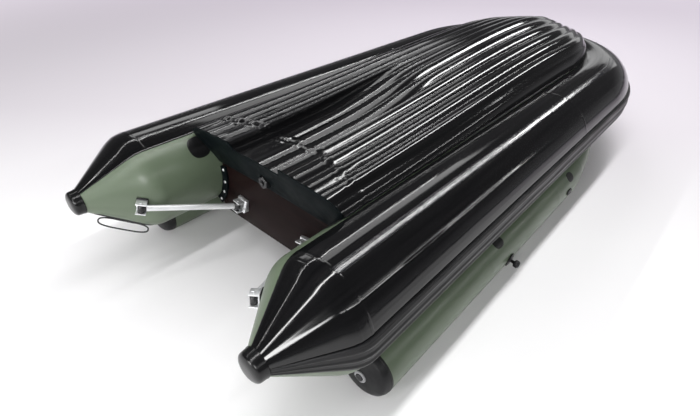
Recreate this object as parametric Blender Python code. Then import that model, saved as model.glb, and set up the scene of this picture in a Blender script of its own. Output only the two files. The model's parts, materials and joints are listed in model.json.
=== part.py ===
"""Inflatable motor boat, lying keel up.

Frame: +Z points to the keel side, +Y to the bow, +X to the boat's port side.
The floor under the upturned boat is z = 0, the middle of the bounding box is x = y = 0.
All lengths are in metres.
"""
import bpy
import bmesh
import math
from mathutils import Vector

for old in list(bpy.data.objects):
    bpy.data.objects.remove(old)

# Driving dimensions
FIT_GAP = 0.0003
TUBE_RADIUS = 0.26
TUBE_AXIS_X = 0.6775
TUBE_SIDES = 24
STERN_OVERHANG = 0.713
MIDSHIP_LENGTH = 1.817
FOREBODY_LENGTH = 2.010
CONE_SEAM_AFT = 0.341
CONE_START_AFT = 0.393
CONE_END_AFT = 0.660
CONE_TIP_RADIUS = 0.062
CONE_TIP_OUT = 0.009
CONE_TIP_UP = 0.013
CAP_SHOULDER_AFT = 0.692
CAP_NOSE_RADIUS = 0.036
BOW_CURVE_FROM_BOW = 1.37
BOW_SHEER = 0.05
BOW_POWER_X_SHARE = 2.0
BOW_POWER_Y_SHARE = 2.2
ARMOUR_THICK = 0.0025
FENDER_LOW = 0.007
FENDER_HIGH = 0.019
TAPE_HALF_ANGLE = 4.0
TAPE_ANGLE = 15.0
TAPE_THICK = 0.0025
TAPE_END_SHARE = 0.36

BULWARK_RADIUS = 0.130
BULWARK_ANGLE = 157.177
BULWARK_GAP = 0.00058
BULWARK_START_AFT = 0.200
BULWARK_CAP_LENGTH = 0.062
BULWARK_TAPER_Y = 1.90
BULWARK_END_Y = 2.42
BULWARK_END_RADIUS = 0.068
BULWARK_SIDES = 20
WEB_HALF_ANGLE = 7.0
WEB_FOOT_ANGLE = 16.0
WEB_FOOT_SHARE = 0.96
NOSE_CAP_LENGTH = 0.07
VALVE_RADIUS = 0.031
VALVE_BORE = 0.019
VALVE_THICK = 0.008
VALVE_STEM = 0.004

BOTTOM_EDGE_ANGLE = 31.0
BOTTOM_NOSE_ANGLE = 8.0
BOTTOM_SEAT_ANGLE = 14.0
SEAT_CLEARANCE = 0.0024
BOTTOM_RIBS = 12
RIB_DEPTH = 0.014
CROWN_AFT = 0.095
CROWN_BOW = 0.225
CROWN_PEAK_FROM_BOW = 1.35
TUNNEL_DEPTH = 0.045
TUNNEL_SHARE = 0.32
TUNNEL_FULL = 0.55
TUNNEL_LENGTH = 1.35

TRANSOM_THICK = 0.040
DECK_CORNER_INSET = 0.0075
TRANSOM_DECK_DROP = 0.247
TRANSOM_SEAT_GAP = 0.0018
AFT_RAKE_SHARE = 0.40
FAIRING_THICK = 0.008
FAIRING_DEPTH = 0.1105
FAIRING_V = 0.015
HOLDER_FLANGE = 0.012
HOLDER_WEB = 0.010
HOLDER_REACH = 0.034
BOLT_RADIUS = 0.004
BOLT_HEAD_RADIUS = 0.0085
BOLT_HEAD_THICK = 0.006
BOLT_INSET = 0.016
BOLT_FIRST_ANGLE = 129.0
BOLT_STEP_ANGLE = 15.5
BOLT_COUNT = 4
STRIP_THICK = 0.003
STRIP_HALF = 0.010
STRIP_END_ANGLE = 4.0

DRAIN_DEPTH = 0.0355
DRAIN_HEX_RADIUS = 0.030
DRAIN_TUBE_RADIUS = 0.016
DRAIN_BORE_RADIUS = 0.011
DRAIN_REACH_AFT = 0.058
DRAIN_POCKET_RADIUS = 0.036
DRAIN_NUT_THICK = 0.012
PLUG_DEPTH = 0.020
PLUG_FLANGE_RADIUS = 0.018
PLUG_FLANGE_THICK = 0.005
DRAIN_LIP = 0.004
DRAIN_CUT_LENGTH = 0.4

STRUT_RADIUS = 0.0155
STRUT_PIN_INBOARD = 0.1675
STRUT_PIN_AFT = 0.050
STRUT_PIN_DROP = 0.115
CONE_FORK_AFT = 0.4558
CONE_PAD_THICK = 0.0077
STRUT_TAPER = 0.020
EYE_RADIUS = 0.016
EYE_PLAY = 0.002
SLOT_PLAY = 0.001
FORK_GAP = 0.050
FORK_THICK = 0.006
FORK_WIDTH = 0.050
FORK_BACK = 0.0235
FORK_FRONT = 0.016
PIN_RADIUS = 0.004
PIN_HEAD_RADIUS = 0.008
PIN_HEAD_THICK = 0.004
FOOT_LIP = 0.007

HANDLE_ANGLE = 150.0
HANDLE_LENGTH = 0.21
HANDLE_DEPTH = 0.046
HANDLE_WIRE = 0.008
HANDLE_AFT = 0.515

OARLOCK_Y = 0.90
OARLOCK_ANGLE = 99.0
OARLOCK_BASE_RADIUS = 0.042
OARLOCK_BASE_THICK = 0.010
OARLOCK_STALK_RADIUS = 0.009
OARLOCK_STALK = 0.018
OARLOCK_KNOB_RADIUS = 0.022
OARLOCK_FLARE = 0.006
OARLOCK_BAND = 0.020
OARLOCK_CROWN = 0.008
EYELET_RADIUS = 0.032
EYELET_THICK = 0.010
EYELET_ANGLE = 127.5
EYELET_FIRST_Y = 0.86
EYELET_SECOND_Y = 1.76
TAB_LENGTH = 0.085
TAB_WIDTH = 0.036
TAB_THICK = 0.008
TAB_Y = 1.78
TAB_ANGLE = 81.0

# Derived heights, measured from the floor under the bulwarks
BULWARK_AXIS_Z = BULWARK_RADIUS
BULWARK_DISTANCE = TUBE_RADIUS + BULWARK_GAP + BULWARK_RADIUS
BULWARK_AXIS_X = TUBE_AXIS_X + BULWARK_DISTANCE * math.sin(math.radians(BULWARK_ANGLE))
TUBE_AXIS_Z = BULWARK_AXIS_Z - BULWARK_DISTANCE * math.cos(math.radians(BULWARK_ANGLE))
TRANSOM_DECK_Z = TUBE_AXIS_Z - TRANSOM_DECK_DROP
SEAT_RADIUS = ARMOUR_THICK + SEAT_CLEARANCE
SEAT_INNER_ANGLE = math.radians(BOTTOM_EDGE_ANGLE + BOTTOM_SEAT_ANGLE)
TRANSOM_KEEL_Z = TUBE_AXIS_Z + (TUBE_RADIUS + SEAT_RADIUS) * math.cos(SEAT_INNER_ANGLE) - TRANSOM_SEAT_GAP
FAIRING_LOW_Z = TRANSOM_KEEL_Z - FAIRING_DEPTH
DRAIN_Z = TRANSOM_KEEL_Z - DRAIN_DEPTH
STRUT_PIN_Z = TUBE_AXIS_Z - STRUT_PIN_DROP
STRUT_PIN_X = TUBE_AXIS_X - TUBE_RADIUS - STRUT_PIN_INBOARD
TRANSOM_DECK_HALF = TUBE_AXIS_X - TUBE_RADIUS - DECK_CORNER_INSET

# Derived stations along the boat, measured from the middle of its length
BOAT_LENGTH = STERN_OVERHANG + MIDSHIP_LENGTH + FOREBODY_LENGTH
STERN_Y = -BOAT_LENGTH / 2
TRANSOM_Y = STERN_Y + STERN_OVERHANG
CONE_SEAM_Y = TRANSOM_Y - CONE_SEAM_AFT
CONE_START_Y = TRANSOM_Y - CONE_START_AFT
CONE_END_Y = TRANSOM_Y - CONE_END_AFT
CAP_SHOULDER_Y = TRANSOM_Y - CAP_SHOULDER_AFT
BOW_AXIS_Y = BOAT_LENGTH / 2 - TUBE_RADIUS - FIT_GAP - FENDER_HIGH
BOW_SEAM_Y = BOAT_LENGTH / 2 - FOREBODY_LENGTH
BOW_CURVE_Y = BOAT_LENGTH / 2 - BOW_CURVE_FROM_BOW
FACET = 360.0 / TUBE_SIDES
SMOOTH_ANGLE = 35.0
BULWARK_FLAT = BULWARK_RADIUS * math.cos(math.pi / BULWARK_SIDES)
BULWARK_AFT_Y = TRANSOM_Y - BULWARK_START_AFT
BULWARK_TAPER = TRANSOM_Y + BULWARK_TAPER_Y
BULWARK_TIP = TRANSOM_Y + BULWARK_END_Y

SIDES = tuple(zip(("port", "starboard"), (1, -1)))


def material(name, colour, rough, metal=0.0):
    mat = bpy.data.materials.new(name)
    mat.use_nodes = True
    shader = mat.node_tree.nodes["Principled BSDF"]
    shader.inputs["Base Color"].default_value = (*colour, 1.0)
    shader.inputs["Roughness"].default_value = rough
    shader.inputs["Metallic"].default_value = metal
    return mat


GREEN = (0.10, 0.14, 0.09)
BLACK = (0.012, 0.012, 0.014)
RUBBER = (0.02, 0.02, 0.022)
SLATE = (0.035, 0.045, 0.048)
BOARD = (0.035, 0.018, 0.018)
STEEL = (0.62, 0.63, 0.64)
GREY = (0.16, 0.16, 0.17)


def shade(mesh):
    mesh.shade_smooth()
    mesh.set_sharp_from_angle(angle=math.radians(SMOOTH_ANGLE))


def make(name, points, faces, colour, rough=0.4, metal=0.0):
    mesh = bpy.data.meshes.new(name)
    mesh.from_pydata([tuple(p) for p in points], [], faces)
    work = bmesh.new()
    work.from_mesh(mesh)
    bmesh.ops.recalc_face_normals(work, faces=work.faces)
    work.to_mesh(mesh)
    work.free()
    mesh.update()
    shade(mesh)
    obj = bpy.data.objects.new(name, mesh)
    bpy.context.scene.collection.objects.link(obj)
    mesh.materials.append(material("mat_" + name, colour, rough, metal))
    return obj


def loft_data(rings, start=0, caps=True):
    """Points and faces of a closed skin through rings that have the same number of points."""
    count = len(rings[0])
    points = [p for ring in rings for p in ring]
    faces = []
    for i in range(len(rings) - 1):
        for j in range(count):
            k = (j + 1) % count
            a, b = start + i * count, start + (i + 1) * count
            faces.append((a + j, a + k, b + k, b + j))
    if caps:
        faces.append(tuple(start + j for j in range(count)))
        last = start + (len(rings) - 1) * count
        faces.append(tuple(last + j for j in range(count)))
    return points, faces


def loft(name, rings, colour, rough=0.4, metal=0.0):
    points, faces = loft_data(rings)
    return make(name, points, faces, colour, rough, metal)


def facet_radius(angle, radius):
    """Radius of the many-sided tube section at this angle, corners lying on radius."""
    half = FACET / 2
    return radius * math.cos(math.radians(half)) / math.cos(math.radians((angle % FACET) - half))


class Frame:
    """One station of a tube: centre, outward horizontal direction and radius."""

    def __init__(self, centre, out, radius):
        self.centre, self.out, self.radius = Vector(centre), Vector(out), radius

    def at(self, angle, extra=0.0, faceted=True):
        """Point at an angle from the keel side, counted outward; extra is added to the radius."""
        full = self.radius + extra
        r = facet_radius(angle, full) if faceted else full
        a = math.radians(angle)
        return self.centre + self.out * (r * math.sin(a)) + Vector((0, 0, r * math.cos(a)))


def side_frame(y, sign):
    return Frame((sign * TUBE_AXIS_X, y, TUBE_AXIS_Z), (sign, 0, 0), TUBE_RADIUS)


def cone_frame(y, sign, radius=None):
    """Station on the stern cone, its axis leaning slightly outward and to the keel side."""
    share = max(0.0, (CONE_START_Y - y) / (CONE_START_Y - CONE_END_Y))
    r = TUBE_RADIUS + (CONE_TIP_RADIUS - TUBE_RADIUS) * share if radius is None else radius
    share = min(share, 1.0)
    centre = (sign * (TUBE_AXIS_X + CONE_TIP_OUT * share), y, TUBE_AXIS_Z + CONE_TIP_UP * share)
    return Frame(centre, (sign, 0, 0), r)


def bow_point(turn):
    """Centre line of the bow for turn from 0 (straight part) to 1 (stem), port side."""
    a = turn * math.pi / 2
    x = TUBE_AXIS_X * max(math.cos(a), 0.0) ** (2 / BOW_POWER_X_SHARE)
    y = BOW_CURVE_Y + (BOW_AXIS_Y - BOW_CURVE_Y) * math.sin(a) ** (2 / BOW_POWER_Y_SHARE)
    share = (y - BOW_CURVE_Y) / (BOW_AXIS_Y - BOW_CURVE_Y)
    return Vector((x, y, TUBE_AXIS_Z - BOW_SHEER * share ** 1.6))


def bow_frame(turn, sign):
    if turn >= 1.0:
        return Frame(bow_point(1.0), (0, 1, 0), TUBE_RADIUS)
    here = bow_point(turn)
    small = 1e-4
    step = bow_point(min(turn + small, 1.0)) - bow_point(max(turn - small, 0.0))
    out = Vector((step.y, -step.x, 0)).normalized()
    if turn <= 0.0:
        out = Vector((1, 0, 0))
    return Frame((sign * here.x, here.y, here.z), (sign * out.x, out.y, 0), TUBE_RADIUS)


BOW_TURN_SHARES = [0.0, 0.12, 0.25, 0.37, 0.48, 0.58, 0.67, 0.75, 0.82, 0.885, 0.945, 1.0]
BOW_START_Y = BOW_SEAM_Y + FIT_GAP / 2


def bow_frames():
    """Stations from the port seam round the stem to the starboard seam."""
    first = side_frame(BOW_START_Y, 1.0)
    frames = [first] + [bow_frame(t, 1.0) for t in BOW_TURN_SHARES]
    frames += [bow_frame(t, -1.0) for t in reversed(BOW_TURN_SHARES[:-1])]
    frames.append(side_frame(BOW_START_Y, -1.0))
    return frames


TUBE_ANGLES = [i * FACET for i in range(TUBE_SIDES)]
ARMOUR_FROM, ARMOUR_TO = -30.0, 75.0
ARMOUR_ANGLES = [ARMOUR_FROM + i * FACET for i in range(8)]
FENDER_FROM, FENDER_TO = 75.15, 104.85
FENDER_MIDDLE = 90.0


def tube_ring(frame):
    return [frame.at(a) for a in TUBE_ANGLES]


def skin_ring(frame, angles, low, high):
    """Closed section of a sheet glued on a tube between two radius offsets."""
    inner = [frame.at(a, low) for a in angles]
    outer = [frame.at(a, high) for a in reversed(angles)]
    return inner + outer


FENDER_SHARES = [(104.85, 0.2), (102.6, 0.75), (99.5, 1.0), (96.5, 0.45), (93.2, 0.5),
                 (90.0, 1.0), (86.8, 0.5), (83.5, 0.45), (80.5, 1.0), (77.4, 0.75), (75.15, 0.2)]


def fender_ring(frame, scale=1.0):
    inner = [frame.at(a, FIT_GAP) for a in (FENDER_FROM, FENDER_MIDDLE, FENDER_TO)]
    outer = []
    for angle, share in FENDER_SHARES:
        height = FENDER_LOW + (FENDER_HIGH - FENDER_LOW) * share
        outer.append(frame.at(angle, FIT_GAP + height * scale, False))
    return inner + outer


# Buoyancy tubes, stern cones and their end caps
for side, s in SIDES:
    loft("side_tube_" + side, [tube_ring(side_frame(CONE_SEAM_Y + FIT_GAP / 2, s)),
                               tube_ring(side_frame(BOW_SEAM_Y - FIT_GAP / 2, s))], GREEN, 0.45)
    loft("stern_cone_" + side, [tube_ring(cone_frame(CONE_SEAM_Y - FIT_GAP / 2, s)),
                                tube_ring(cone_frame(CONE_START_Y, s)),
                                tube_ring(cone_frame(CONE_END_Y, s))], GREEN, 0.45)
    cap_rings = [tube_ring(cone_frame(CONE_END_Y - FIT_GAP, s, CONE_TIP_RADIUS + ARMOUR_THICK)),
                 tube_ring(cone_frame(CAP_SHOULDER_Y, s, CONE_TIP_RADIUS)),
                 tube_ring(cone_frame(STERN_Y, s, CAP_NOSE_RADIUS))]
    loft("cone_cap_" + side, cap_rings, RUBBER, 0.5)
loft("bow_tube", [tube_ring(f) for f in bow_frames()], GREEN, 0.45)

# Black armour sheets on the keel side and the outside of the tubes and cones
for side, s in SIDES:
    frames = [cone_frame(CONE_END_Y, s), cone_frame(CONE_START_Y, s), cone_frame(CONE_SEAM_Y, s),
              side_frame(BOW_SEAM_Y - FIT_GAP / 2, s)]
    loft("armour_side_" + side,
         [skin_ring(f, ARMOUR_ANGLES, FIT_GAP, FIT_GAP + ARMOUR_THICK) for f in frames], BLACK, 0.2)
loft("armour_bow", [skin_ring(f, ARMOUR_ANGLES, FIT_GAP, FIT_GAP + ARMOUR_THICK)
                    for f in bow_frames()], BLACK, 0.2)

# Ridged rubbing strake round the outside
for side, s in SIDES:
    rings = [fender_ring(cone_frame(CONE_END_Y, s), 0.35), fender_ring(cone_frame(CONE_START_Y, s), 0.9),
             fender_ring(cone_frame(CONE_SEAM_Y, s)),
             fender_ring(side_frame(BOW_SEAM_Y - FIT_GAP / 2, s))]
    loft("rubbing_strake_" + side, rings, BLACK, 0.35)
loft("rubbing_strake_bow", [fender_ring(f) for f in bow_frames()], BLACK, 0.35)

# Wear tapes on the keel side of the tubes
TAPE_ANGLES = [TAPE_ANGLE - TAPE_HALF_ANGLE, TAPE_ANGLE, TAPE_ANGLE + TAPE_HALF_ANGLE]
TAPE_LOW = 2 * FIT_GAP + ARMOUR_THICK
for side, s in SIDES:
    frames = [side_frame(CONE_SEAM_Y + FIT_GAP / 2, s), side_frame(BOW_START_Y, s)]
    frames += [bow_frame(t, s) for t in BOW_TURN_SHARES if t <= TAPE_END_SHARE]
    loft("wear_tape_" + side,
         [skin_ring(f, TAPE_ANGLES, TAPE_LOW, TAPE_LOW + TAPE_THICK) for f in frames], BLACK, 0.15)

# Ribbed inflatable bottom with a V shape and the jet tunnel
BOTTOM_AFT_SHARES = [0.0, 0.12, 0.28, 0.45, 0.62, 0.78, 0.90, 1.0]
BOTTOM_TURN_SHARES = [0.0, 0.12, 0.25, 0.37, 0.48, 0.58, 0.67, 0.75, 0.82, 0.885, 0.945]
BOTTOM_COLUMNS = 4 * BOTTOM_RIBS
UNDER_COLUMNS = 8
CROWN_PEAK_Y = BOAT_LENGTH / 2 - CROWN_PEAK_FROM_BOW


def aft_plane(z):
    """Y of the raked aft face of the bottom at this height."""
    return TRANSOM_Y - (z - FAIRING_LOW_Z) * AFT_RAKE_SHARE


def crown_height(y, nose_y):
    if y <= CROWN_PEAK_Y:
        share = (y - TRANSOM_Y) / (CROWN_PEAK_Y - TRANSOM_Y)
        share = max(share, 0.0)
        share = share * share * (3 - 2 * share)
        return CROWN_AFT + (CROWN_BOW - CROWN_AFT) * share
    share = min((y - CROWN_PEAK_Y) / (nose_y - CROWN_PEAK_Y), 1.0)
    return CROWN_BOW * max(1 - share ** 2.4, 0.0) ** 0.6


def crown_shape(u, y):
    """Share of the crown height across the bottom, 1 at the middle and 0 at the edge."""
    share = min(max((y - TRANSOM_Y) / (CROWN_PEAK_Y - TRANSOM_Y), 0.0), 1.0)
    flat = 0.68 - 0.18 * share
    return flat * (1 - abs(u) ** 12) + (1 - flat) * (1 - abs(u) ** 1.15)


def tunnel_drop(u, y):
    reach = y - TRANSOM_Y
    fade = min(max(1 - (reach - TUNNEL_FULL) / (TUNNEL_LENGTH - TUNNEL_FULL), 0.0), 1.0)
    fade = fade * fade * (3 - 2 * fade)
    return TUNNEL_DEPTH * fade if abs(u) < TUNNEL_SHARE else 0.0


def rib_lift(u, y):
    lobe = abs(math.cos(math.pi * u * BOTTOM_RIBS / 2))
    quiet = 0.35 if tunnel_drop(u, y) > 0.0 else 1.0
    return RIB_DEPTH * lobe * quiet * (1 - abs(u) ** 14)


def bottom_profile(edge, u, y, nose_y, ribs=True):
    z = edge.z + crown_height(y, nose_y) * crown_shape(u, y) - tunnel_drop(u, y)
    return z + (rib_lift(u, y) if ribs else 0.0)


def bottom_stations():
    aft = TRANSOM_Y
    out = [(side_frame(aft + (BOW_SEAM_Y - aft) * t, 1.0), 0.0) for t in BOTTOM_AFT_SHARES]
    out += [(bow_frame(t, 1.0), t) for t in BOTTOM_TURN_SHARES]
    return out


def bottom_ring(frame, turn, nose_y, aft=False):
    edge_angle = -(BOTTOM_EDGE_ANGLE + (BOTTOM_NOSE_ANGLE - BOTTOM_EDGE_ANGLE) * turn ** 1.3)
    seat = [edge_angle, edge_angle - BOTTOM_SEAT_ANGLE / 2, edge_angle - BOTTOM_SEAT_ANGLE]
    edge, middle, inner = [frame.at(a, SEAT_RADIUS, False) for a in seat]
    ring = []
    for j in range(BOTTOM_COLUMNS + 1):
        u = 1 - 2 * j / BOTTOM_COLUMNS
        ring.append(Vector((edge.x * u, edge.y, bottom_profile(edge, u, edge.y, nose_y))))
    ring.append(Vector((-middle.x, middle.y, middle.z)))
    for j in range(UNDER_COLUMNS + 1):
        u = -1 + 2 * j / UNDER_COLUMNS
        ring.append(Vector((inner.x * u, inner.y, inner.z)))
    ring.append(Vector((middle.x, middle.y, middle.z)))
    if aft:
        ring = [Vector((p.x, aft_plane(p.z) + FIT_GAP, p.z)) for p in ring]
    return ring


stations = bottom_stations()
NOSE_Y = bow_frame(1.0, 1.0).at(-BOTTOM_NOSE_ANGLE, SEAT_RADIUS, False).y
bottom_rings = [bottom_ring(f, t, NOSE_Y, i == 0) for i, (f, t) in enumerate(stations)]
points, faces = loft_data(bottom_rings, 0, False)
size = len(bottom_rings[0])
faces.append(tuple(range(size)))
last = (len(bottom_rings) - 1) * size
under = BOTTOM_COLUMNS + 2
spread = BOTTOM_COLUMNS // UNDER_COLUMNS
for j in range(BOTTOM_COLUMNS):
    k = UNDER_COLUMNS - j // spread
    faces.append((last + j, last + j + 1, last + under + k))
    if (j + 1) % spread == 0:
        faces.append((last + j + 1, last + under + k - 1, last + under + k))
faces.append((last, last + under + UNDER_COLUMNS, last + size - 1))
faces.append((last + BOTTOM_COLUMNS, last + BOTTOM_COLUMNS + 1, last + under))
make("inflatable_bottom", points, faces, BLACK, 0.2)


def axes(direction, hint=Vector((0, 0, 1))):
    """Two unit vectors square to a direction."""
    d = Vector(direction).normalized()
    side = d.cross(hint)
    if side.length < 1e-3:
        side = d.cross(Vector((1, 0, 0)))
    side.normalize()
    return side, side.cross(d).normalized()


def circle(centre, direction, radius, count=16, hint=Vector((0, 0, 1))):
    a, b = axes(direction, hint)
    turn = [2 * math.pi * i / count for i in range(count)]
    return [Vector(centre) + (a * math.cos(t) + b * math.sin(t)) * radius for t in turn]


def turned(start, direction, profile, count=16):
    """Rings of a turned solid from (distance along the axis, radius) pairs."""
    d = Vector(direction).normalized()
    return [circle(Vector(start) + d * along, d, radius, count) for along, radius in profile]


def bored(start, direction, outer, bore, count=16):
    """Rings of a turned solid with a round hole right through, as a closed loop of rings."""
    d = Vector(direction).normalized()
    rings = [circle(Vector(start) + d * along, d, radius, count) for along, radius in outer]
    ends = (outer[-1][0], outer[0][0])
    rings += [circle(Vector(start) + d * along, d, bore, count) for along in ends]
    return rings


def ring_faces(rings):
    """Faces of a skin whose last ring joins the first, as on a tube with thickness."""
    count = len(rings[0])
    points = [p for ring in rings for p in ring]
    faces = []
    for i in range(len(rings)):
        n = (i + 1) % len(rings)
        for j in range(count):
            k = (j + 1) % count
            faces.append((i * count + j, i * count + k, n * count + k, n * count + j))
    return points, faces


def apply_boolean(target, tool, operation):
    """Cut or join one closed skin with another and drop the other."""
    change = target.modifiers.new("shape", 'BOOLEAN')
    change.operation = operation
    change.solver = 'EXACT'
    change.object = tool
    bpy.context.view_layer.update()
    graph = bpy.context.evaluated_depsgraph_get()
    result = bpy.data.meshes.new_from_object(target.evaluated_get(graph))
    target.modifiers.clear()
    shade(result)
    target.data = result
    bpy.data.objects.remove(tool)


def cut(target, rings_list):
    for rings in rings_list:
        apply_boolean(target, loft("tool", rings, BLACK), 'DIFFERENCE')


def join(target, rings_list):
    for rings in rings_list:
        apply_boolean(target, loft("tool", rings, BLACK), 'UNION')


# Transom board, its glued side holders and the slate fairing under the raked end of the bottom
BOARD_RADIUS = TUBE_RADIUS + HOLDER_WEB
BOARD_ANGLES = (47.0, 60.0, 75.0, 90.0, 105.0, 120.0, 135.0)
board_edge = [side_frame(TRANSOM_Y, 1.0).at(-a, HOLDER_WEB) for a in BOARD_ANGLES]
board_half = [(p.x, min(p.z, TRANSOM_KEEL_Z)) for p in board_edge] + [(TRANSOM_DECK_HALF, TRANSOM_DECK_Z)]
board_half[0] = (board_half[0][0], TRANSOM_KEEL_Z)
board_outline = board_half + [(-x, z) for x, z in reversed(board_half)]
board = loft("transom_board", [[Vector((x, y, z)) for x, z in board_outline]
                               for y in (TRANSOM_Y, TRANSOM_Y + TRANSOM_THICK)], BOARD, 0.3)

FLANGE_AFT_Y = TRANSOM_Y - FIT_GAP - HOLDER_FLANGE
FLANGE_FORE_Y = TRANSOM_Y + TRANSOM_THICK + FIT_GAP + HOLDER_FLANGE
HOLDER_ANGLES = (135.0, 120.0, 105.0, 90.0, 79.0)


def bolt_places(sign):
    """Bolt axes in the plane of the board, along the holder's curve."""
    frame = side_frame(TRANSOM_Y, sign)
    angles = [BOLT_FIRST_ANGLE - i * BOLT_STEP_ANGLE for i in range(BOLT_COUNT)]
    return [frame.at(-a, HOLDER_WEB + BOLT_INSET, False) for a in angles]


def bolt_holes(sign, radius):
    length = 2 * HOLDER_FLANGE + FLANGE_FORE_Y - FLANGE_AFT_Y
    return [turned((p.x, FLANGE_AFT_Y - HOLDER_FLANGE, p.z), (0, 1, 0), ((0.0, radius), (length, radius)), 12)
            for p in bolt_places(sign)]


for side, s in SIDES:
    rings = []
    frame = side_frame(TRANSOM_Y, s)
    for angle in HOLDER_ANGLES:
        wall = frame.at(-angle, FIT_GAP)
        seat = frame.at(-angle, HOLDER_WEB - FIT_GAP)
        lip = frame.at(-angle, HOLDER_WEB + HOLDER_REACH)
        back, front = TRANSOM_Y - FIT_GAP, TRANSOM_Y + TRANSOM_THICK + FIT_GAP
        section = [(wall, FLANGE_AFT_Y), (lip, FLANGE_AFT_Y), (lip, back), (seat, back),
                   (seat, front), (lip, front), (lip, FLANGE_FORE_Y), (wall, FLANGE_FORE_Y)]
        rings.append([Vector((p.x, y, p.z)) for p, y in section])
    holder = loft("transom_holder_" + side, rings, SLATE, 0.5)
    cut(holder, bolt_holes(s, BOLT_RADIUS + FIT_GAP))
    cut(board, bolt_holes(s, BOLT_RADIUS + FIT_GAP))
    strip_y = FLANGE_FORE_Y + FIT_GAP
    strip_rings = []
    last_angle = BOLT_FIRST_ANGLE - (BOLT_COUNT - 1) * BOLT_STEP_ANGLE
    for angle in (BOLT_FIRST_ANGLE + STRIP_END_ANGLE, BOLT_FIRST_ANGLE - BOLT_STEP_ANGLE,
                  BOLT_FIRST_ANGLE - 2 * BOLT_STEP_ANGLE, last_angle - STRIP_END_ANGLE):
        near = frame.at(-angle, HOLDER_WEB + BOLT_INSET - STRIP_HALF, False)
        far = frame.at(-angle, HOLDER_WEB + BOLT_INSET + STRIP_HALF, False)
        strip_end = strip_y + STRIP_THICK
        section = ((near, strip_y), (far, strip_y), (far, strip_end), (near, strip_end))
        strip_rings.append([Vector((p.x, y, p.z)) for p, y in section])
    strip = loft("transom_bolts_" + side, strip_rings, STEEL, 0.25, 1.0)
    head = FLANGE_AFT_Y - FIT_GAP
    join(strip, [turned((p.x, head, p.z), (0, 1, 0),
                        ((-BOLT_HEAD_THICK, BOLT_HEAD_RADIUS * 0.6),
                         (-BOLT_HEAD_THICK * 0.5, BOLT_HEAD_RADIUS),
                         (0.0, BOLT_HEAD_RADIUS), (0.0, BOLT_RADIUS),
                         (strip_y + STRIP_THICK / 2 - head, BOLT_RADIUS)), 12) for p in bolt_places(s)])

# Fairing columns from the port edge to the starboard edge, as shares of the bottom's half width
FAIRING_SHARES = [0.72, 0.56, 0.44, 0.33, 0.305, 0.16, 0.0]
FAIRING_TUBE_ANGLES = [34.0, 41.0, 52.0, 59.0, 66.0, 73.0]
FAIRING_CLEARANCE = 4 * FIT_GAP
aft_seat = [side_frame(TRANSOM_Y, 1.0).at(-BOTTOM_EDGE_ANGLE - BOTTOM_SEAT_ANGLE * t, SEAT_RADIUS, False)
            for t in (0.0, 0.5, 1.0)]
aft_edge = aft_seat[0]
FAIRING_X = [side_frame(TRANSOM_Y, 1.0).at(-a, FAIRING_CLEARANCE, False).x for a in FAIRING_TUBE_ANGLES]
FAIRING_X = sorted([aft_edge.x * u for u in FAIRING_SHARES] + [aft_seat[1].x, aft_seat[2].x] + FAIRING_X,
                   reverse=True)
FAIRING_X += [-x for x in reversed(FAIRING_X[:-1])]


def fairing_low(x):
    low = FAIRING_LOW_Z + FAIRING_V * (1 - abs(x) / aft_edge.x)
    reach = TUBE_AXIS_X - abs(x)
    clear = TUBE_RADIUS + FAIRING_CLEARANCE
    if reach < clear:
        low = max(low, TUBE_AXIS_Z + math.sqrt(clear * clear - reach * reach))
    return low


def bottom_under(x):
    """Height of the bottom's lower face at its aft end."""
    x = abs(x)
    for outer, inner in ((aft_seat[0], aft_seat[1]), (aft_seat[1], aft_seat[2])):
        if x >= inner.x:
            return inner.z + (outer.z - inner.z) * (x - inner.x) / (outer.x - inner.x)
    return aft_seat[2].z


fairing_rings = []
for x in FAIRING_X:
    low = fairing_low(x)
    high = bottom_profile(aft_edge, x / aft_edge.x, TRANSOM_Y, NOSE_Y, False) + RIB_DEPTH / 2
    seat = bottom_under(x) - FIT_GAP
    board_y = TRANSOM_Y - FIT_GAP
    section = [(aft_plane(low) - FAIRING_THICK, low), (aft_plane(high) - FAIRING_THICK, high),
               (aft_plane(high), high), (aft_plane(seat), seat), (board_y, seat), (board_y, low)]
    fairing_rings.append([Vector((x, y, z)) for y, z in section])
fairing = loft("transom_fairing", fairing_rings, SLATE, 0.45)
drain_cut = (0, TRANSOM_Y - DRAIN_CUT_LENGTH / 2, DRAIN_Z)
cut(fairing, [turned(drain_cut, (0, 1, 0),
                     ((0.0, DRAIN_POCKET_RADIUS), (DRAIN_CUT_LENGTH, DRAIN_POCKET_RADIUS)), 24)])

# Drain valve through the board and its pull-out plug
DRAIN_HOLE_RADIUS = DRAIN_TUBE_RADIUS + FIT_GAP
cut(board, [turned(drain_cut, (0, 1, 0),
                   ((0.0, DRAIN_HOLE_RADIUS), (DRAIN_CUT_LENGTH, DRAIN_HOLE_RADIUS)), 24)])
DRAIN_FRONT = TRANSOM_THICK + 2 * FIT_GAP + DRAIN_NUT_THICK
drain_start = Vector((0, TRANSOM_Y, DRAIN_Z))
DRAIN_END = DRAIN_FRONT + DRAIN_LIP
outer = ((-DRAIN_REACH_AFT, DRAIN_HEX_RADIUS * 0.86), (-DRAIN_REACH_AFT + DRAIN_LIP, DRAIN_HEX_RADIUS),
         (-FIT_GAP, DRAIN_HEX_RADIUS), (-FIT_GAP, DRAIN_TUBE_RADIUS),
         (DRAIN_END, DRAIN_TUBE_RADIUS))
points, faces = ring_faces(bored(drain_start, (0, 1, 0), outer, DRAIN_BORE_RADIUS, 24))
make("drain_valve_body", points, faces, RUBBER, 0.4)
nut = ((TRANSOM_THICK + FIT_GAP, DRAIN_HEX_RADIUS), (DRAIN_FRONT, DRAIN_HEX_RADIUS))
points, faces = ring_faces(bored(drain_start, (0, 1, 0), nut, DRAIN_HOLE_RADIUS, 24))
make("drain_valve_nut", points, faces, RUBBER, 0.4)
PLUG_SEAT = DRAIN_END + FIT_GAP
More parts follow.
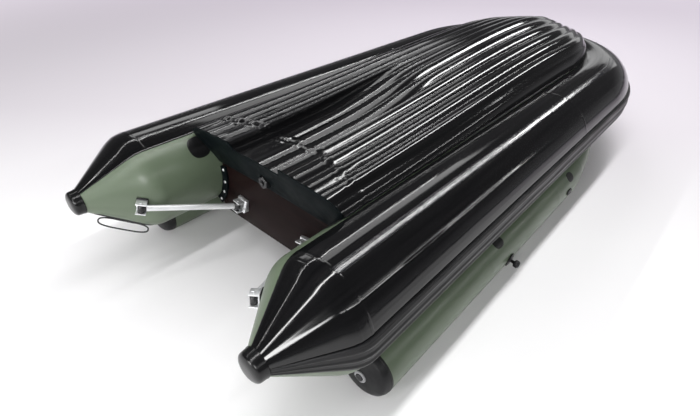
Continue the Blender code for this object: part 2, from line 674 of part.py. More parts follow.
plug = turned(drain_start, (0, 1, 0),
              ((PLUG_SEAT + PLUG_FLANGE_THICK, PLUG_FLANGE_RADIUS * 0.9), (PLUG_SEAT, PLUG_FLANGE_RADIUS),
               (PLUG_SEAT, DRAIN_BORE_RADIUS - FIT_GAP),
               (DRAIN_FRONT - PLUG_DEPTH, DRAIN_BORE_RADIUS - 2 * FIT_GAP)), 24)
plug = loft("drain_plug", plug, GREY, 0.5)


def place_on_axis(obj, origin):
    """Move the object's origin without moving its skin."""
    shift = Vector(origin)
    for vertex in obj.data.vertices:
        vertex.co -= shift
    obj.location = shift


place_on_axis(plug, drain_start)


def square_to(direction, axis):
    """The direction with its part along the axis taken out."""
    d = Vector(direction)
    return (d - axis * d.dot(axis)).normalized()


# Stays between the transom and the stern cones
def fork_rings(pin, back, pin_axis):
    """U-shaped bracket: open towards -back, its two lugs square to the pin axis."""
    p = Vector(pin_axis).normalized()
    b = square_to(back, p)
    along = b.cross(p).normalized()
    half = FORK_GAP / 2
    shape = [(-FORK_FRONT, half), (FORK_BACK, half), (FORK_BACK, -half), (-FORK_FRONT, -half),
             (-FORK_FRONT, -half - FORK_THICK), (FORK_BACK + FORK_THICK, -half - FORK_THICK),
             (FORK_BACK + FORK_THICK, half + FORK_THICK), (-FORK_FRONT, half + FORK_THICK)]
    widths = (-FORK_WIDTH / 2, FORK_WIDTH / 2)
    return [[Vector(pin) + b * u + p * v + along * w for u, v in shape] for w in widths]


def pin_hole(pin, pin_axis):
    p = Vector(pin_axis).normalized()
    reach = FORK_GAP + 2 * FORK_THICK
    hole = PIN_RADIUS + FIT_GAP
    return turned(Vector(pin) - p * reach, p, ((0.0, hole), (2 * reach, hole)), 16)


def pin_rings(pin, pin_axis):
    p = Vector(pin_axis).normalized()
    edge = FORK_GAP / 2 + FORK_THICK + FIT_GAP
    start = Vector(pin) - p * (edge + PIN_HEAD_THICK)
    length = 2 * (edge + PIN_HEAD_THICK)
    return turned(start, p, ((0.0, PIN_HEAD_RADIUS), (PIN_HEAD_THICK, PIN_HEAD_RADIUS),
                             (PIN_HEAD_THICK, PIN_RADIUS), (length, PIN_RADIUS)), 12)


def pad_rings(corners, back, thick):
    b = Vector(back).normalized()
    return [[c + b * FIT_GAP for c in corners], [c + b * (FIT_GAP + thick) for c in corners]]


for side, s in SIDES:
    near = Vector((s * STRUT_PIN_X, TRANSOM_Y - STRUT_PIN_AFT, STRUT_PIN_Z))
    ring_in = cone_frame(CONE_START_Y, s).at(-90)
    tip_in = cone_frame(CONE_END_Y, s).at(-90)
    wall = (tip_in - ring_in).normalized()
    wall_out = Vector((s * wall.y, -s * wall.x, 0)).normalized()
    if wall_out.x * s > 0:
        wall_out = -wall_out
    into_cone = -wall_out
    seat = ring_in + wall * ((TRANSOM_Y - CONE_FORK_AFT - ring_in.y) / wall.y)
    pad_depth = CONE_PAD_THICK + 3 * FIT_GAP
    far = seat - into_cone * (pad_depth + FORK_THICK + FORK_BACK)
    far.z = TUBE_AXIS_Z
    run = (far - near).normalized()
    pin_axis = run.cross(into_cone).normalized()
    if pin_axis.z < 0:
        pin_axis = -pin_axis
    lip = FORK_GAP / 2 + FORK_THICK + FOOT_LIP

    fork = loft("transom_fork_" + side, fork_rings(near, (0, 1, 0), pin_axis), STEEL, 0.25, 1.0)
    back = square_to((0, 1, 0), pin_axis)
    across = back.cross(pin_axis).normalized()
    foot = near + back * (FORK_BACK + FORK_THICK / 2)
    plate = [foot + across * (u * FORK_WIDTH * 0.7) + pin_axis * (v * lip)
             for u, v in ((-1, -1), (1, -1), (1, 1), (-1, 1))]
    join(fork, [[plate, [Vector((c.x, TRANSOM_Y - FIT_GAP, c.z)) for c in plate]]])
    cut(fork, [pin_hole(near, pin_axis)])

    fork = loft("cone_fork_" + side, fork_rings(far, into_cone, pin_axis), STEEL, 0.25, 1.0)
    cut(fork, [pin_hole(far, pin_axis)])
    foot = far + into_cone * (FORK_BACK + FORK_THICK)
    across = into_cone.cross(pin_axis).normalized()
    plate = [foot + across * (u * FORK_WIDTH * 0.56) + pin_axis * (v * lip)
             for u, v in ((-1, -1), (1, -1), (1, 1), (-1, 1))]
    loft("cone_fork_pad_" + side, pad_rings(plate, into_cone, CONE_PAD_THICK), RUBBER, 0.5)

    # The stay: a tube ended by an eye at each pin
    eye_half = FORK_GAP / 2 - EYE_PLAY
    clear = PIN_RADIUS + FIT_GAP
    length = (far - near).length - EYE_RADIUS
    tube = turned(near + run * EYE_RADIUS * 0.5, run,
                  ((0.0, STRUT_RADIUS * 0.8), (STRUT_TAPER, STRUT_RADIUS),
                   (length - STRUT_TAPER, STRUT_RADIUS), (length, STRUT_RADIUS * 0.8)), 16)
    stay = loft("stay_" + side, tube, STEEL, 0.25, 1.0)
    for place in (near, far):
        join(stay, [turned(place - pin_axis * eye_half, pin_axis,
                           ((0.0, EYE_RADIUS), (2 * eye_half, EYE_RADIUS)), 16)])
    for place in (near, far):
        reach = FORK_GAP + 2 * FORK_THICK
        cut(stay, [turned(place - pin_axis * reach, pin_axis, ((0.0, clear), (2 * reach, clear)), 16)])
    # The eye on the cone is slotted on its cone side, so the stay can swing off its pin
    apart = square_to(pin_axis.cross(run) * s, pin_axis)
    slot = []
    for end in (-eye_half * 2, eye_half * 2):
        corner = far + pin_axis * end
        wide = run * (clear + SLOT_PLAY)
        slot.append([corner - wide, corner + wide, corner + wide + apart * EYE_RADIUS * 2,
                     corner - wide + apart * EYE_RADIUS * 2])
    cut(stay, [slot])
    place_on_axis(stay, near)
    loft("transom_pin_" + side, pin_rings(near, -pin_axis), STEEL, 0.2, 1.0)
    pull_pin = loft("cone_pin_" + side, pin_rings(far, -pin_axis), STEEL, 0.2, 1.0)
    place_on_axis(pull_pin, far)

# Carry handles on the deck side of the stern cones
for side, s in SIDES:
    middle = TRANSOM_Y - HANDLE_AFT
    a = cone_frame(middle + HANDLE_LENGTH / 2, s).at(-HANDLE_ANGLE, FIT_GAP, False)
    b = cone_frame(middle - HANDLE_LENGTH / 2, s).at(-HANDLE_ANGLE, FIT_GAP, False)
    run = (b - a).normalized()
    outward = Vector((-s * math.sin(math.radians(HANDLE_ANGLE)), 0, math.cos(math.radians(HANDLE_ANGLE))))
    outward = (outward - run * outward.dot(run)).normalized()
    across = run.cross(outward).normalized()
    half = (b - a).length / 2
    centre = (a + b) / 2 + outward * ((HANDLE_DEPTH + HANDLE_WIRE) / 2)
    path = []
    steps = 24
    for i in range(steps):
        t = 2 * math.pi * i / steps
        c, n = math.cos(t), math.sin(t)
        u = math.copysign(abs(c) ** 0.55, c) * (half - HANDLE_WIRE)
        v = math.copysign(abs(n) ** 0.75, n) * (HANDLE_DEPTH / 2)
        path.append(centre + run * u - outward * v)
    rings = []
    for i in range(steps):
        ahead, behind = path[(i + 1) % steps], path[i - 1]
        tangent = (ahead - behind).normalized()
        normal = tangent.cross(across).normalized()
        ring = []
        for j in range(8):
            t = 2 * math.pi * (j + 0.5) / 8
            ring.append(path[i] + (across * math.cos(t) + normal * math.sin(t)) * (HANDLE_WIRE * 0.5))
        rings.append(ring)
    points, faces = ring_faces(rings)
    make("stern_handle_" + side, points, faces, GREY, 0.5)

# Side bulwark tubes with their end caps, inflation valves and glued webs
def bulwark_angles():
    return [i * 360.0 / BULWARK_SIDES for i in range(BULWARK_SIDES)]


def host_frame(y, sign):
    """Main tube station that the bulwark rides on at this distance along the boat."""
    if y <= BOW_CURVE_Y:
        return side_frame(y, sign)
    low, high = 0.0, 1.0
    for _ in range(40):
        mid = (low + high) / 2
        if bow_point(mid).y < y:
            low = mid
        else:
            high = mid
    return bow_frame(low, sign)


def bulwark_ring(y, sign, scale=1.0):
    share = min(max((y - BULWARK_TAPER) / (BULWARK_TIP - BULWARK_TAPER), 0.0), 1.0)
    radius = BULWARK_RADIUS + (BULWARK_END_RADIUS - BULWARK_RADIUS) * share ** 1.5
    host = host_frame(y, sign)
    a = math.radians(BULWARK_ANGLE)
    reach = TUBE_RADIUS + BULWARK_GAP + radius
    centre = host.centre + host.out * (reach * math.sin(a)) + Vector((0, 0, reach * math.cos(a)))
    ring = []
    for angle in bulwark_angles():
        t = math.radians(angle)
        ring.append(centre + (host.out * math.sin(t) + Vector((0, 0, math.cos(t)))) * (radius * scale))
    return ring, centre, radius, host


CAP_SHARES = ((0.0, 1.0), (0.40, 0.985), (0.72, 0.90), (0.92, 0.72), (1.0, 0.46))


def bulwark_cap_ring(y, sign, radius):
    centre = Vector((sign * BULWARK_AXIS_X, y, BULWARK_AXIS_Z))
    return [centre + Vector((sign * math.sin(math.radians(a)), 0, math.cos(math.radians(a)))) * radius
            for a in bulwark_angles()]


for side, s in SIDES:
    straight = [BULWARK_AFT_Y, BULWARK_TAPER]
    curved = [BULWARK_TAPER + (BULWARK_TIP - BULWARK_TAPER) * t for t in (0.25, 0.5, 0.75, 1.0)]
    rings = [bulwark_ring(y, s)[0] for y in straight + curved]
    bulwark = loft("bulwark_" + side, rings, GREEN, 0.45)
    end = BULWARK_AFT_Y - FIT_GAP
    length = BULWARK_CAP_LENGTH
    cap = [bulwark_cap_ring(end - length * along, s, BULWARK_RADIUS * wide) for along, wide in CAP_SHARES]
    loft("bulwark_cap_" + side, cap, RUBBER, 0.5)
    face = Vector((s * BULWARK_AXIS_X, end - length - FIT_GAP, BULWARK_AXIS_Z))
    ring = ((0.0, VALVE_RADIUS), (VALVE_THICK * 0.6, VALVE_RADIUS), (VALVE_THICK, VALVE_RADIUS * 0.88))
    points, faces = ring_faces(bored(face, (0, -1, 0), ring, VALVE_BORE, 20))
    make("bulwark_valve_" + side, points, faces, GREY, 0.35, 0.5)
    lid_radius = VALVE_BORE - FIT_GAP
    lid = turned(face, (0, -1, 0), ((0.0, lid_radius), (VALVE_THICK + VALVE_STEM, lid_radius),
                                    (VALVE_THICK + 1.6 * VALVE_STEM, VALVE_BORE * 0.8)), 20)
    lid = loft("bulwark_valve_cap_" + side, lid, RUBBER, 0.5)
    place_on_axis(lid, face)

    # Forward nose cap of the bulwark
    tip, centre, radius, host = bulwark_ring(BULWARK_TIP, s)
    forward = Vector((-s * host.out.y, abs(host.out.x), 0)).normalized()
    middle = [centre + forward * (NOSE_CAP_LENGTH * 0.6) + (p - centre) * 0.85 for p in tip]
    nose = [centre + forward * NOSE_CAP_LENGTH + (p - centre) * 0.45 for p in tip]
    base = [p + forward * FIT_GAP for p in tip]
    loft("bulwark_nose_" + side, [base, middle, nose], RUBBER, 0.5)

    # Glued web that holds the bulwark to the main tube
    web = []
    for y in (BULWARK_AFT_Y, BULWARK_TAPER):
        host = side_frame(y, s)
        angles = [BULWARK_ANGLE - WEB_HALF_ANGLE, BULWARK_ANGLE, BULWARK_ANGLE + WEB_HALF_ANGLE]
        upper = [host.at(a, FIT_GAP) for a in angles]
        centre = Vector((s * BULWARK_AXIS_X, y, BULWARK_AXIS_Z))
        lower = []
        for turn in (-WEB_FOOT_ANGLE, 0.0, WEB_FOOT_ANGLE):
            t = math.radians(BULWARK_ANGLE + 180.0 + turn)
            down = Vector((s * math.sin(t), 0, math.cos(t)))
            lower.append(centre + down * (BULWARK_RADIUS * WEB_FOOT_SHARE))
        web.append(upper + lower)
    join(bulwark, [web])

# Rubber patches, grab-line eyelets and oarlocks
TAB_SHARES = ((-0.5, 0.0), (-0.28, -0.5), (0.28, -0.5), (0.5, 0.0), (0.28, 0.5), (-0.28, 0.5))
for side, s in SIDES:
    for label, place in (("aft", EYELET_FIRST_Y), ("fore", EYELET_SECOND_Y)):
        host = side_frame(TRANSOM_Y + place, s)
        base = host.at(EYELET_ANGLE, FIT_GAP)
        normal = (base - host.centre).normalized()
        loft("grab_line_patch_" + label + "_" + side,
             turned(base, normal, ((0.0, EYELET_RADIUS), (EYELET_THICK * 0.5, EYELET_RADIUS),
                                   (EYELET_THICK, EYELET_RADIUS * 0.72)), 16), RUBBER, 0.5)

    ring_centre = Vector((s * BULWARK_AXIS_X, TRANSOM_Y + OARLOCK_Y, BULWARK_AXIS_Z))
    t = math.radians(OARLOCK_ANGLE)
    normal = Vector((s * math.sin(t), 0, math.cos(t)))
    base = ring_centre + normal * (BULWARK_FLAT + FIT_GAP)
    loft("oarlock_base_" + side,
         turned(base, normal, ((0.0, OARLOCK_BASE_RADIUS), (OARLOCK_BASE_THICK * 0.5, OARLOCK_BASE_RADIUS),
                               (OARLOCK_BASE_THICK, OARLOCK_BASE_RADIUS * 0.6)), 16), RUBBER, 0.5)
    foot = base + normal * (OARLOCK_BASE_THICK + FIT_GAP)
    flare = OARLOCK_STALK + OARLOCK_FLARE
    band = flare + OARLOCK_BAND
    knob = turned(foot, normal, ((0.0, OARLOCK_STALK_RADIUS), (OARLOCK_STALK, OARLOCK_STALK_RADIUS),
                                 (flare, OARLOCK_KNOB_RADIUS), (band, OARLOCK_KNOB_RADIUS),
                                 (band + OARLOCK_CROWN, OARLOCK_KNOB_RADIUS * 0.6)), 16)
    knob = loft("oarlock_" + side, knob, RUBBER, 0.35)
    place_on_axis(knob, foot)

    t = math.radians(TAB_ANGLE)
    normal = Vector((s * math.sin(t), 0, math.cos(t)))
    centre = Vector((s * BULWARK_AXIS_X, TRANSOM_Y + TAB_Y, BULWARK_AXIS_Z))
    centre += normal * (BULWARK_FLAT + FIT_GAP)
    across = Vector((0, 1, 0)).cross(normal).normalized()
    tab = [[centre + Vector((0, 1, 0)) * (u * TAB_LENGTH) + across * (v * TAB_WIDTH) + normal * h
            for u, v in TAB_SHARES] for h in (0.0, TAB_THICK)]
    loft("bulwark_tab_" + side, tab, RUBBER, 0.5)
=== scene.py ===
"""Overturned inflatable motor boat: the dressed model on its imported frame, in metres."""

import json
import math

import bmesh
import bpy
import numpy as np
from mathutils import Matrix, Vector

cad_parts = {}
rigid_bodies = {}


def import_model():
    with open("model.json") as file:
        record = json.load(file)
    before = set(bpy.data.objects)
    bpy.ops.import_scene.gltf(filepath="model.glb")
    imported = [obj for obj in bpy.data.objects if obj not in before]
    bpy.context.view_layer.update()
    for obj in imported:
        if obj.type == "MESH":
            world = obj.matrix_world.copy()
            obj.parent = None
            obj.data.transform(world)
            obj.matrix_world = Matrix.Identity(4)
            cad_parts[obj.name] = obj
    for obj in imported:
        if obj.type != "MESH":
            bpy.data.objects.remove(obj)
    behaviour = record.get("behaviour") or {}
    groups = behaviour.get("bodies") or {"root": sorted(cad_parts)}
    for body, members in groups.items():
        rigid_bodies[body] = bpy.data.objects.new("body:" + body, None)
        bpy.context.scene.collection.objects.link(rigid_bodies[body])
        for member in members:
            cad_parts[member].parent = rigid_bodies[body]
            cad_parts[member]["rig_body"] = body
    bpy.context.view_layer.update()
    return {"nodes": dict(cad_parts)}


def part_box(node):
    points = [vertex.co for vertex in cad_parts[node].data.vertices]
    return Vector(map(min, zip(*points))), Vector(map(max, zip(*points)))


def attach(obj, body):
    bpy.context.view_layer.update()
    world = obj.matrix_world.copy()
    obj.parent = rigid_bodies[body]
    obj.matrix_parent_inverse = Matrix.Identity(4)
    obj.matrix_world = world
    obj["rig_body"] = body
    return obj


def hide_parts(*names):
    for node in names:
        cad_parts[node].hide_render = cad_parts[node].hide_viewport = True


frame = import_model()
nodes = frame["nodes"]

Z = np.array((0.0, 0.0, 1.0))
TUBE_R, AXIS_X, AXIS_Z = 0.260, 0.6775, 0.490
TRANSOM_Y, STERN_Y = -1.557, -2.270
CONE_SEAM_Y, CONE_START_Y, CONE_END_Y = -1.898, -1.950, -2.217
CONE_TIP_R, CONE_OUT, CONE_UP = 0.062, 0.009, 0.013
BOW_SEAM_Y, BOW_CURVE_Y, BOW_AXIS_Y, BOW_SHEER = 0.260, 0.900, 1.9907, 0.050
BOW_POWER, SHEER_POWER = 2.2, 1.6
GAP = 0.0003
SIDES = (("port", 1.0), ("starboard", -1.0))


# ---------------------------------------------------------------- noise and small helpers
def hashed(i, j, seed):
    h = (i * 374761393 + j * 668265263 + seed * 974634777) & 0x7FFFFFFF
    h = ((h ^ (h >> 13)) * 1274126177) & 0x7FFFFFFF
    return ((h ^ (h >> 16)) & 0xFFFF) / 32767.5 - 1.0


def noise2(a, b, seed):
    """Smooth value noise from -1 to 1 over two arrays."""
    a, b = np.broadcast_arrays(np.asarray(a, float), np.asarray(b, float))
    i, j = np.floor(a).astype(np.int64), np.floor(b).astype(np.int64)
    u, v = a - i, b - j
    u, v = u * u * (3 - 2 * u), v * v * (3 - 2 * v)
    low = hashed(i, j, seed) * (1 - u) + hashed(i + 1, j, seed) * u
    high = hashed(i, j + 1, seed) * (1 - u) + hashed(i + 1, j + 1, seed) * u
    return low * (1 - v) + high * v


def bump_of(x, centre, half, soft):
    """1 within half of the centre, fading to 0 over soft."""
    t = np.clip((half + soft - np.abs(x - centre)) / soft, 0.0, 1.0)
    return t * t * (3 - 2 * t)


def smooth_step(x, low, high):
    t = np.clip((x - low) / (high - low), 0.0, 1.0)
    return t * t * (3 - 2 * t)


def skin(name, grid, mat, along, around, wrap=False, caps=False, loop=False, angle=40.0):
    """Mesh from a grid of points, with a UV map that holds metres along and around."""
    n, m = grid.shape[:2]
    mesh = bpy.data.meshes.new(name)
    faces, uvs = [], []
    rows = n if loop else n - 1
    columns = m if wrap else m - 1
    for i in range(rows):
        k = (i + 1) % n
        for j in range(columns):
            c = (j + 1) % m
            faces.append((i * m + j, i * m + c, k * m + c, k * m + j))
            uvs += [(along[i], around[j]), (along[i], around[j + 1]),
                    (along[i + 1], around[j + 1]), (along[i + 1], around[j])]
    if caps:
        for row in (0, n - 1):
            faces.append(tuple(row * m + j for j in range(m)))
            uvs += [(along[row], around[j]) for j in range(m)]
    mesh.from_pydata(grid.reshape(-1, 3).tolist(), [], faces)
    layer = mesh.uv_layers.new(name="flow")
    layer.data.foreach_set("uv", np.array(uvs, np.float32).ravel())
    work = bmesh.new()
    work.from_mesh(mesh)
    bmesh.ops.recalc_face_normals(work, faces=work.faces)
    work.to_mesh(mesh)
    work.free()
    mesh.shade_smooth()
    mesh.set_sharp_from_angle(angle=math.radians(angle))
    mesh.materials.append(mat)
    obj = bpy.data.objects.new(name, mesh)
    bpy.context.scene.collection.objects.link(obj)
    return obj


def place(obj, body, slot, *stands_for):
    """Puts a piece on its body, in place of the CAD nodes it stands for. Its slot is not used."""
    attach(obj, body)
    if stands_for:
        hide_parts(*stands_for)
    return obj


def lengths(points):
    step = np.linalg.norm(np.diff(points, axis=0), axis=1)
    return np.concatenate([[0.0], np.cumsum(step)])


# ---------------------------------------------------------------- materials
def link(tree, a, b):
    tree.links.new(a, b)


def material(name, base, rough, metal=0.0, flow=True, tint=None, gloss=None, bumps=(), extra=None):
    """Principled material with layered noise.

    tint is (other colour, scale, detail, noise where it starts, noise where it is full),
    gloss is (scale, detail, lowest roughness, highest roughness),
    bumps are (scale, detail, strength, distance in metres).
    flow takes metres along and around a skin, and otherwise the object's own coordinates.
    """
    mat = bpy.data.materials.new(name)
    mat.use_nodes = True
    tree = mat.node_tree
    shader = tree.nodes["Principled BSDF"]
    shader.inputs["Metallic"].default_value = metal
    shader.inputs["Roughness"].default_value = rough
    shader.inputs["Base Color"].default_value = (*base, 1.0)
    for key, value in (extra or {}).items():
        shader.inputs[key].default_value = value
    if flow:
        source = tree.nodes.new("ShaderNodeUVMap")
        source.uv_map = "flow"
        out = source.outputs["UV"]
    else:
        source = tree.nodes.new("ShaderNodeTexCoord")
        out = source.outputs["Object"]

    def noise(scale, detail):
        mapping = tree.nodes.new("ShaderNodeMapping")
        mapping.inputs["Scale"].default_value = scale
        link(tree, out, mapping.inputs["Vector"])
        texture = tree.nodes.new("ShaderNodeTexNoise")
        texture.inputs["Scale"].default_value = 1.0
        texture.inputs["Detail"].default_value = detail
        texture.inputs["Roughness"].default_value = 0.5
        texture.inputs["Distortion"].default_value = 0.0
        link(tree, mapping.outputs["Vector"], texture.inputs["Vector"])
        return texture.outputs["Fac"]

    if tint:
        other, scale, detail, low, high = tint
        ramp = tree.nodes.new("ShaderNodeMapRange")
        ramp.inputs["From Min"].default_value = low
        ramp.inputs["From Max"].default_value = high
        link(tree, noise(scale, detail), ramp.inputs["Value"])
        mix = tree.nodes.new("ShaderNodeMix")
        mix.data_type = "RGBA"
        mix.inputs["A"].default_value = (*base, 1.0)
        mix.inputs["B"].default_value = (*other, 1.0)
        link(tree, ramp.outputs["Result"], mix.inputs["Factor"])
        link(tree, mix.outputs["Result"], shader.inputs["Base Color"])
    if gloss:
        scale, detail, smooth, dull = gloss
        ramp = tree.nodes.new("ShaderNodeMapRange")
        ramp.inputs["From Min"].default_value = 0.35
        ramp.inputs["From Max"].default_value = 0.65
        ramp.inputs["To Min"].default_value = smooth
        ramp.inputs["To Max"].default_value = dull
        link(tree, noise(scale, detail), ramp.inputs["Value"])
        link(tree, ramp.outputs["Result"], shader.inputs["Roughness"])
    last = None
    for scale, detail, strength, depth in bumps:
        bump = tree.nodes.new("ShaderNodeBump")
        bump.inputs["Strength"].default_value = strength
        bump.inputs["Distance"].default_value = depth
        link(tree, noise(scale, detail), bump.inputs["Height"])
        if last:
            link(tree, last.outputs["Normal"], bump.inputs["Normal"])
        last = bump
    if last:
        link(tree, last.outputs["Normal"], shader.inputs["Normal"])
    return mat


GREEN = material(
    "pvc_green_fabric", (0.122, 0.158, 0.105), 0.38,
    tint=((0.104, 0.136, 0.089), (2, 5, 1), 3, 0.35, 0.65),
    gloss=((5, 9, 1), 4, 0.29, 0.39),
    bumps=(((300, 300, 1), 0.0, 0.1, 0.0003), ((4, 8, 1), 1.0, 0.08, 0.003)))
ARMOUR = material(
    "pvc_black_armour", (0.0032, 0.0032, 0.0036), 0.1,
    tint=((0.007, 0.007, 0.0075), (1.5, 40, 1), 4, 0.4, 0.7),
    gloss=((1.4, 60, 1), 3, 0.06, 0.14),
    bumps=(((0.3, 40, 1), 1.0, 0.12, 0.0008), ((7, 18, 1), 2.0, 0.06, 0.0010)))
BOTTOM = material(
    "pvc_black_bottom", (0.0032, 0.0032, 0.0036), 0.12,
    tint=((0.008, 0.008, 0.0085), (1.2, 50, 1), 4, 0.4, 0.7),
    gloss=((1.2, 50, 1), 3, 0.08, 0.16),
    bumps=(((0.12, 40, 1), 1.0, 0.12, 0.0010), ((2, 8, 1), 1.0, 0.04, 0.0010)))
STRAKE = material(
    "strake_rubber", (0.0065, 0.0065, 0.007), 0.34,
    extra={"Specular IOR Level": 0.3},
    tint=((0.013, 0.013, 0.014), (4, 30, 1), 4, 0.4, 0.7),
    gloss=((3, 40, 1), 3, 0.30, 0.44),
    bumps=(((60, 260, 1), 2.0, 0.3, 0.0005),))
TAPE = material(
    "wear_tape_strip", (0.011, 0.011, 0.013), 0.14,
    tint=((0.022, 0.022, 0.025), (2, 60, 1), 4, 0.4, 0.7),
    gloss=((1.5, 50, 1), 3, 0.09, 0.22),
    bumps=(((1.5, 120, 1), 3.0, 0.35, 0.0012), ((18, 60, 1), 3.0, 0.3, 0.001)))
NOSE = material(
    "moulded_nose", (0.005, 0.005, 0.0055), 0.28,
    flow=False, extra={"Specular IOR Level": 0.35},
    tint=((0.009, 0.009, 0.0095), (18, 18, 18), 5, 0.4, 0.7),
    gloss=((25, 25, 25), 4, 0.17, 0.25),
    bumps=(((300, 300, 300), 2.0, 0.1, 0.0002),))
RUBBER = material(
    "moulded_rubber", (0.011, 0.011, 0.012), 0.42,
    flow=False, extra={"Specular IOR Level": 0.22},
    tint=((0.019, 0.019, 0.020), (18, 18, 18), 5, 0.4, 0.7),
    gloss=((25, 25, 25), 4, 0.36, 0.52),
    bumps=(((900, 900, 900), 2.0, 0.25, 0.0002),))
SLATE = material(
    "slate_panel", (0.0032, 0.0050, 0.0056), 0.45,
    flow=False, extra={"Specular IOR Level": 0.03},
    tint=((0.0055, 0.0080, 0.0090), (4, 30, 30), 5, 0.35, 0.7),
    gloss=((10, 10, 10), 3, 0.34, 0.5),
    bumps=(((500, 500, 500), 2.0, 0.25, 0.0003),))
BOARD = material(
    "film_faced_board", (0.0075, 0.0042, 0.0042), 0.30,
    flow=False, extra={"Specular IOR Level": 0.04},
    tint=((0.013, 0.0065, 0.006), (1.5, 20, 34), 6, 0.35, 0.7),
    gloss=((6, 6, 9), 4, 0.30, 0.40),
    bumps=(((5, 60, 150), 4.0, 0.2, 0.0003),))
METAL = material(
    "polished_stainless", (0.84, 0.85, 0.86), 0.35, 0.8,
    flow=False,
    tint=((0.70, 0.71, 0.72), (40, 40, 40), 4, 0.4, 0.7),
    gloss=((30, 30, 30), 4, 0.30, 0.42),
    bumps=(((600, 90, 600), 2.0, 0.15, 0.0001),))
METAL_TUBE = material(
    "anodised_tube", (0.86, 0.87, 0.88), 0.35, 0.7,
    tint=((0.74, 0.75, 0.76), (8, 60, 1), 4, 0.4, 0.7),
    gloss=((10, 90, 1), 4, 0.30, 0.46),
    bumps=(((60, 900, 1), 2.0, 0.15, 0.0001),))
PLASTIC = material(
    "grey_plastic", (0.30, 0.30, 0.31), 0.42,
    flow=False,
    tint=((0.24, 0.24, 0.25), (30, 30, 30), 4, 0.4, 0.7),
    gloss=((40, 40, 40), 3, 0.34, 0.5),
    bumps=(((800, 800, 800), 2.0, 0.2, 0.0002),))
DARK_PLASTIC = material(
    "dark_plastic", (0.014, 0.014, 0.015), 0.35,
    flow=False,
    tint=((0.024, 0.024, 0.026), (40, 40, 40), 4, 0.4, 0.7),
    gloss=((50, 50, 50), 3, 0.28, 0.42),
    bumps=(((800, 800, 800), 2.0, 0.2, 0.0002),))
GRIP = material(
    "handle_grip", (0.045, 0.046, 0.048), 0.5,
    tint=((0.030, 0.030, 0.032), (60, 60, 1), 4, 0.4, 0.7),
    gloss=((80, 80, 1), 3, 0.42, 0.6),
    bumps=(((700, 700, 1), 2.0, 0.35, 0.0003),))


# ---------------------------------------------------------------- stations of the tubes
KNEE = 0.05  # half the length over which a tube bends into its cone


def cone_share(y):
    """0 on the tube and 1 at the cone's end, with a soft knee between them."""
    d = CONE_START_Y - y
    soft = np.where(d > KNEE, d, np.maximum(d + KNEE, 0.0) ** 2 / (4 * KNEE))
    return soft / (CONE_START_Y - CONE_END_Y)


def side_path(ys, sign):
    """Centres, outward directions and radii along one side, cone included."""
    ys = np.asarray(ys, float)
    share = cone_share(ys)
    radius = TUBE_R + (CONE_TIP_R - TUBE_R) * share
    lean = np.minimum(share, 1.0)
    centre = np.stack([sign * (AXIS_X + CONE_OUT * lean), ys, AXIS_Z + CONE_UP * lean], axis=1)
    out = np.tile(np.array((sign, 0.0, 0.0)), (len(ys), 1))
    return centre, out, radius


def bow_centre(turn):
    """Axis of the bow tube, from 0 at the end of the side tube to 1 at the stem."""
    a = turn * np.pi / 2
    x = AXIS_X * np.maximum(np.cos(a), 0.0)
    y = BOW_CURVE_Y + (BOW_AXIS_Y - BOW_CURVE_Y) * np.sin(a) ** (2 / BOW_POWER)
    share = (y - BOW_CURVE_Y) / (BOW_AXIS_Y - BOW_CURVE_Y)
    return np.stack([x, y, AXIS_Z - BOW_SHEER * share ** SHEER_POWER], axis=1)


def bow_half(turns):
    """Centres and outward directions of the port half of the bow."""
    centre = bow_centre(turns)
    small = 1e-4
    step = bow_centre(np.minimum(turns + small, 1.0)) - bow_centre(np.maximum(turns - small, 0.0))
    out = np.stack([step[:, 1], -step[:, 0], np.zeros(len(turns))], axis=1)
    out /= np.linalg.norm(out, axis=1)[:, None]
    out[turns <= 0.0] = (1, 0, 0)
    out[turns >= 1.0] = (0, 1, 0)
    return centre, out


def bow_path(straight, curved):
    """Stations round the whole bow: their spacing on the straights, their count in each quarter."""
    ys = np.arange(BOW_SEAM_Y + GAP / 2, BOW_CURVE_Y - straight / 2, straight)
    centre, out, _ = side_path(ys, 1.0)
    c, o = bow_half(np.linspace(0.0, 1.0, curved))
    centre, out = np.concatenate([centre, c]), np.concatenate([out, o])
    mirror = np.array((-1.0, 1.0, 1.0))
    centre = np.concatenate([centre, (centre[:-1] * mirror)[::-1]])
    out = np.concatenate([out, (out[:-1] * mirror)[::-1]])
    return centre, out, np.full(len(centre), TUBE_R)


def sweep(path, angles, offset):
    """Points round the stations of a path: degrees from the keel side, positive outward."""
    centre, out, radius = path
    a = np.radians(angles)[None, :]
    r = radius[:, None] + offset
    side, up = (r * np.sin(a))[..., None], (r * np.cos(a))[..., None]
    return centre[:, None, :] + out[:, None, :] * side + Z * up


def arc(angles, radius=TUBE_R):
    return np.radians(np.asarray(angles, float)) * radius


def tube_wrinkle(s, angles, seed):
    """Faint unevenness of an inflated tube."""
    a = np.asarray(angles)[None, :] / 360.0
    s = np.asarray(s)[:, None]
    fold = noise2(s * 2.0, np.sin(a * 2 * np.pi) * 2.2 + 9, seed) * 0.0007
    return fold + noise2(s * 6.0, np.cos(a * 2 * np.pi) * 4 + 5, seed + 3) * 0.00025


# Faint lengthwise creases of the armour: angle, half width in degrees and height
RIDGES = ((-9.0, 0.35, 0.0003), (45.0, 0.5, 0.0008), (48.5, 0.35, 0.0004),
          (61.0, 0.3, 0.0004), (66.5, 0.3, 0.0005), (71.0, 0.3, 0.0005))


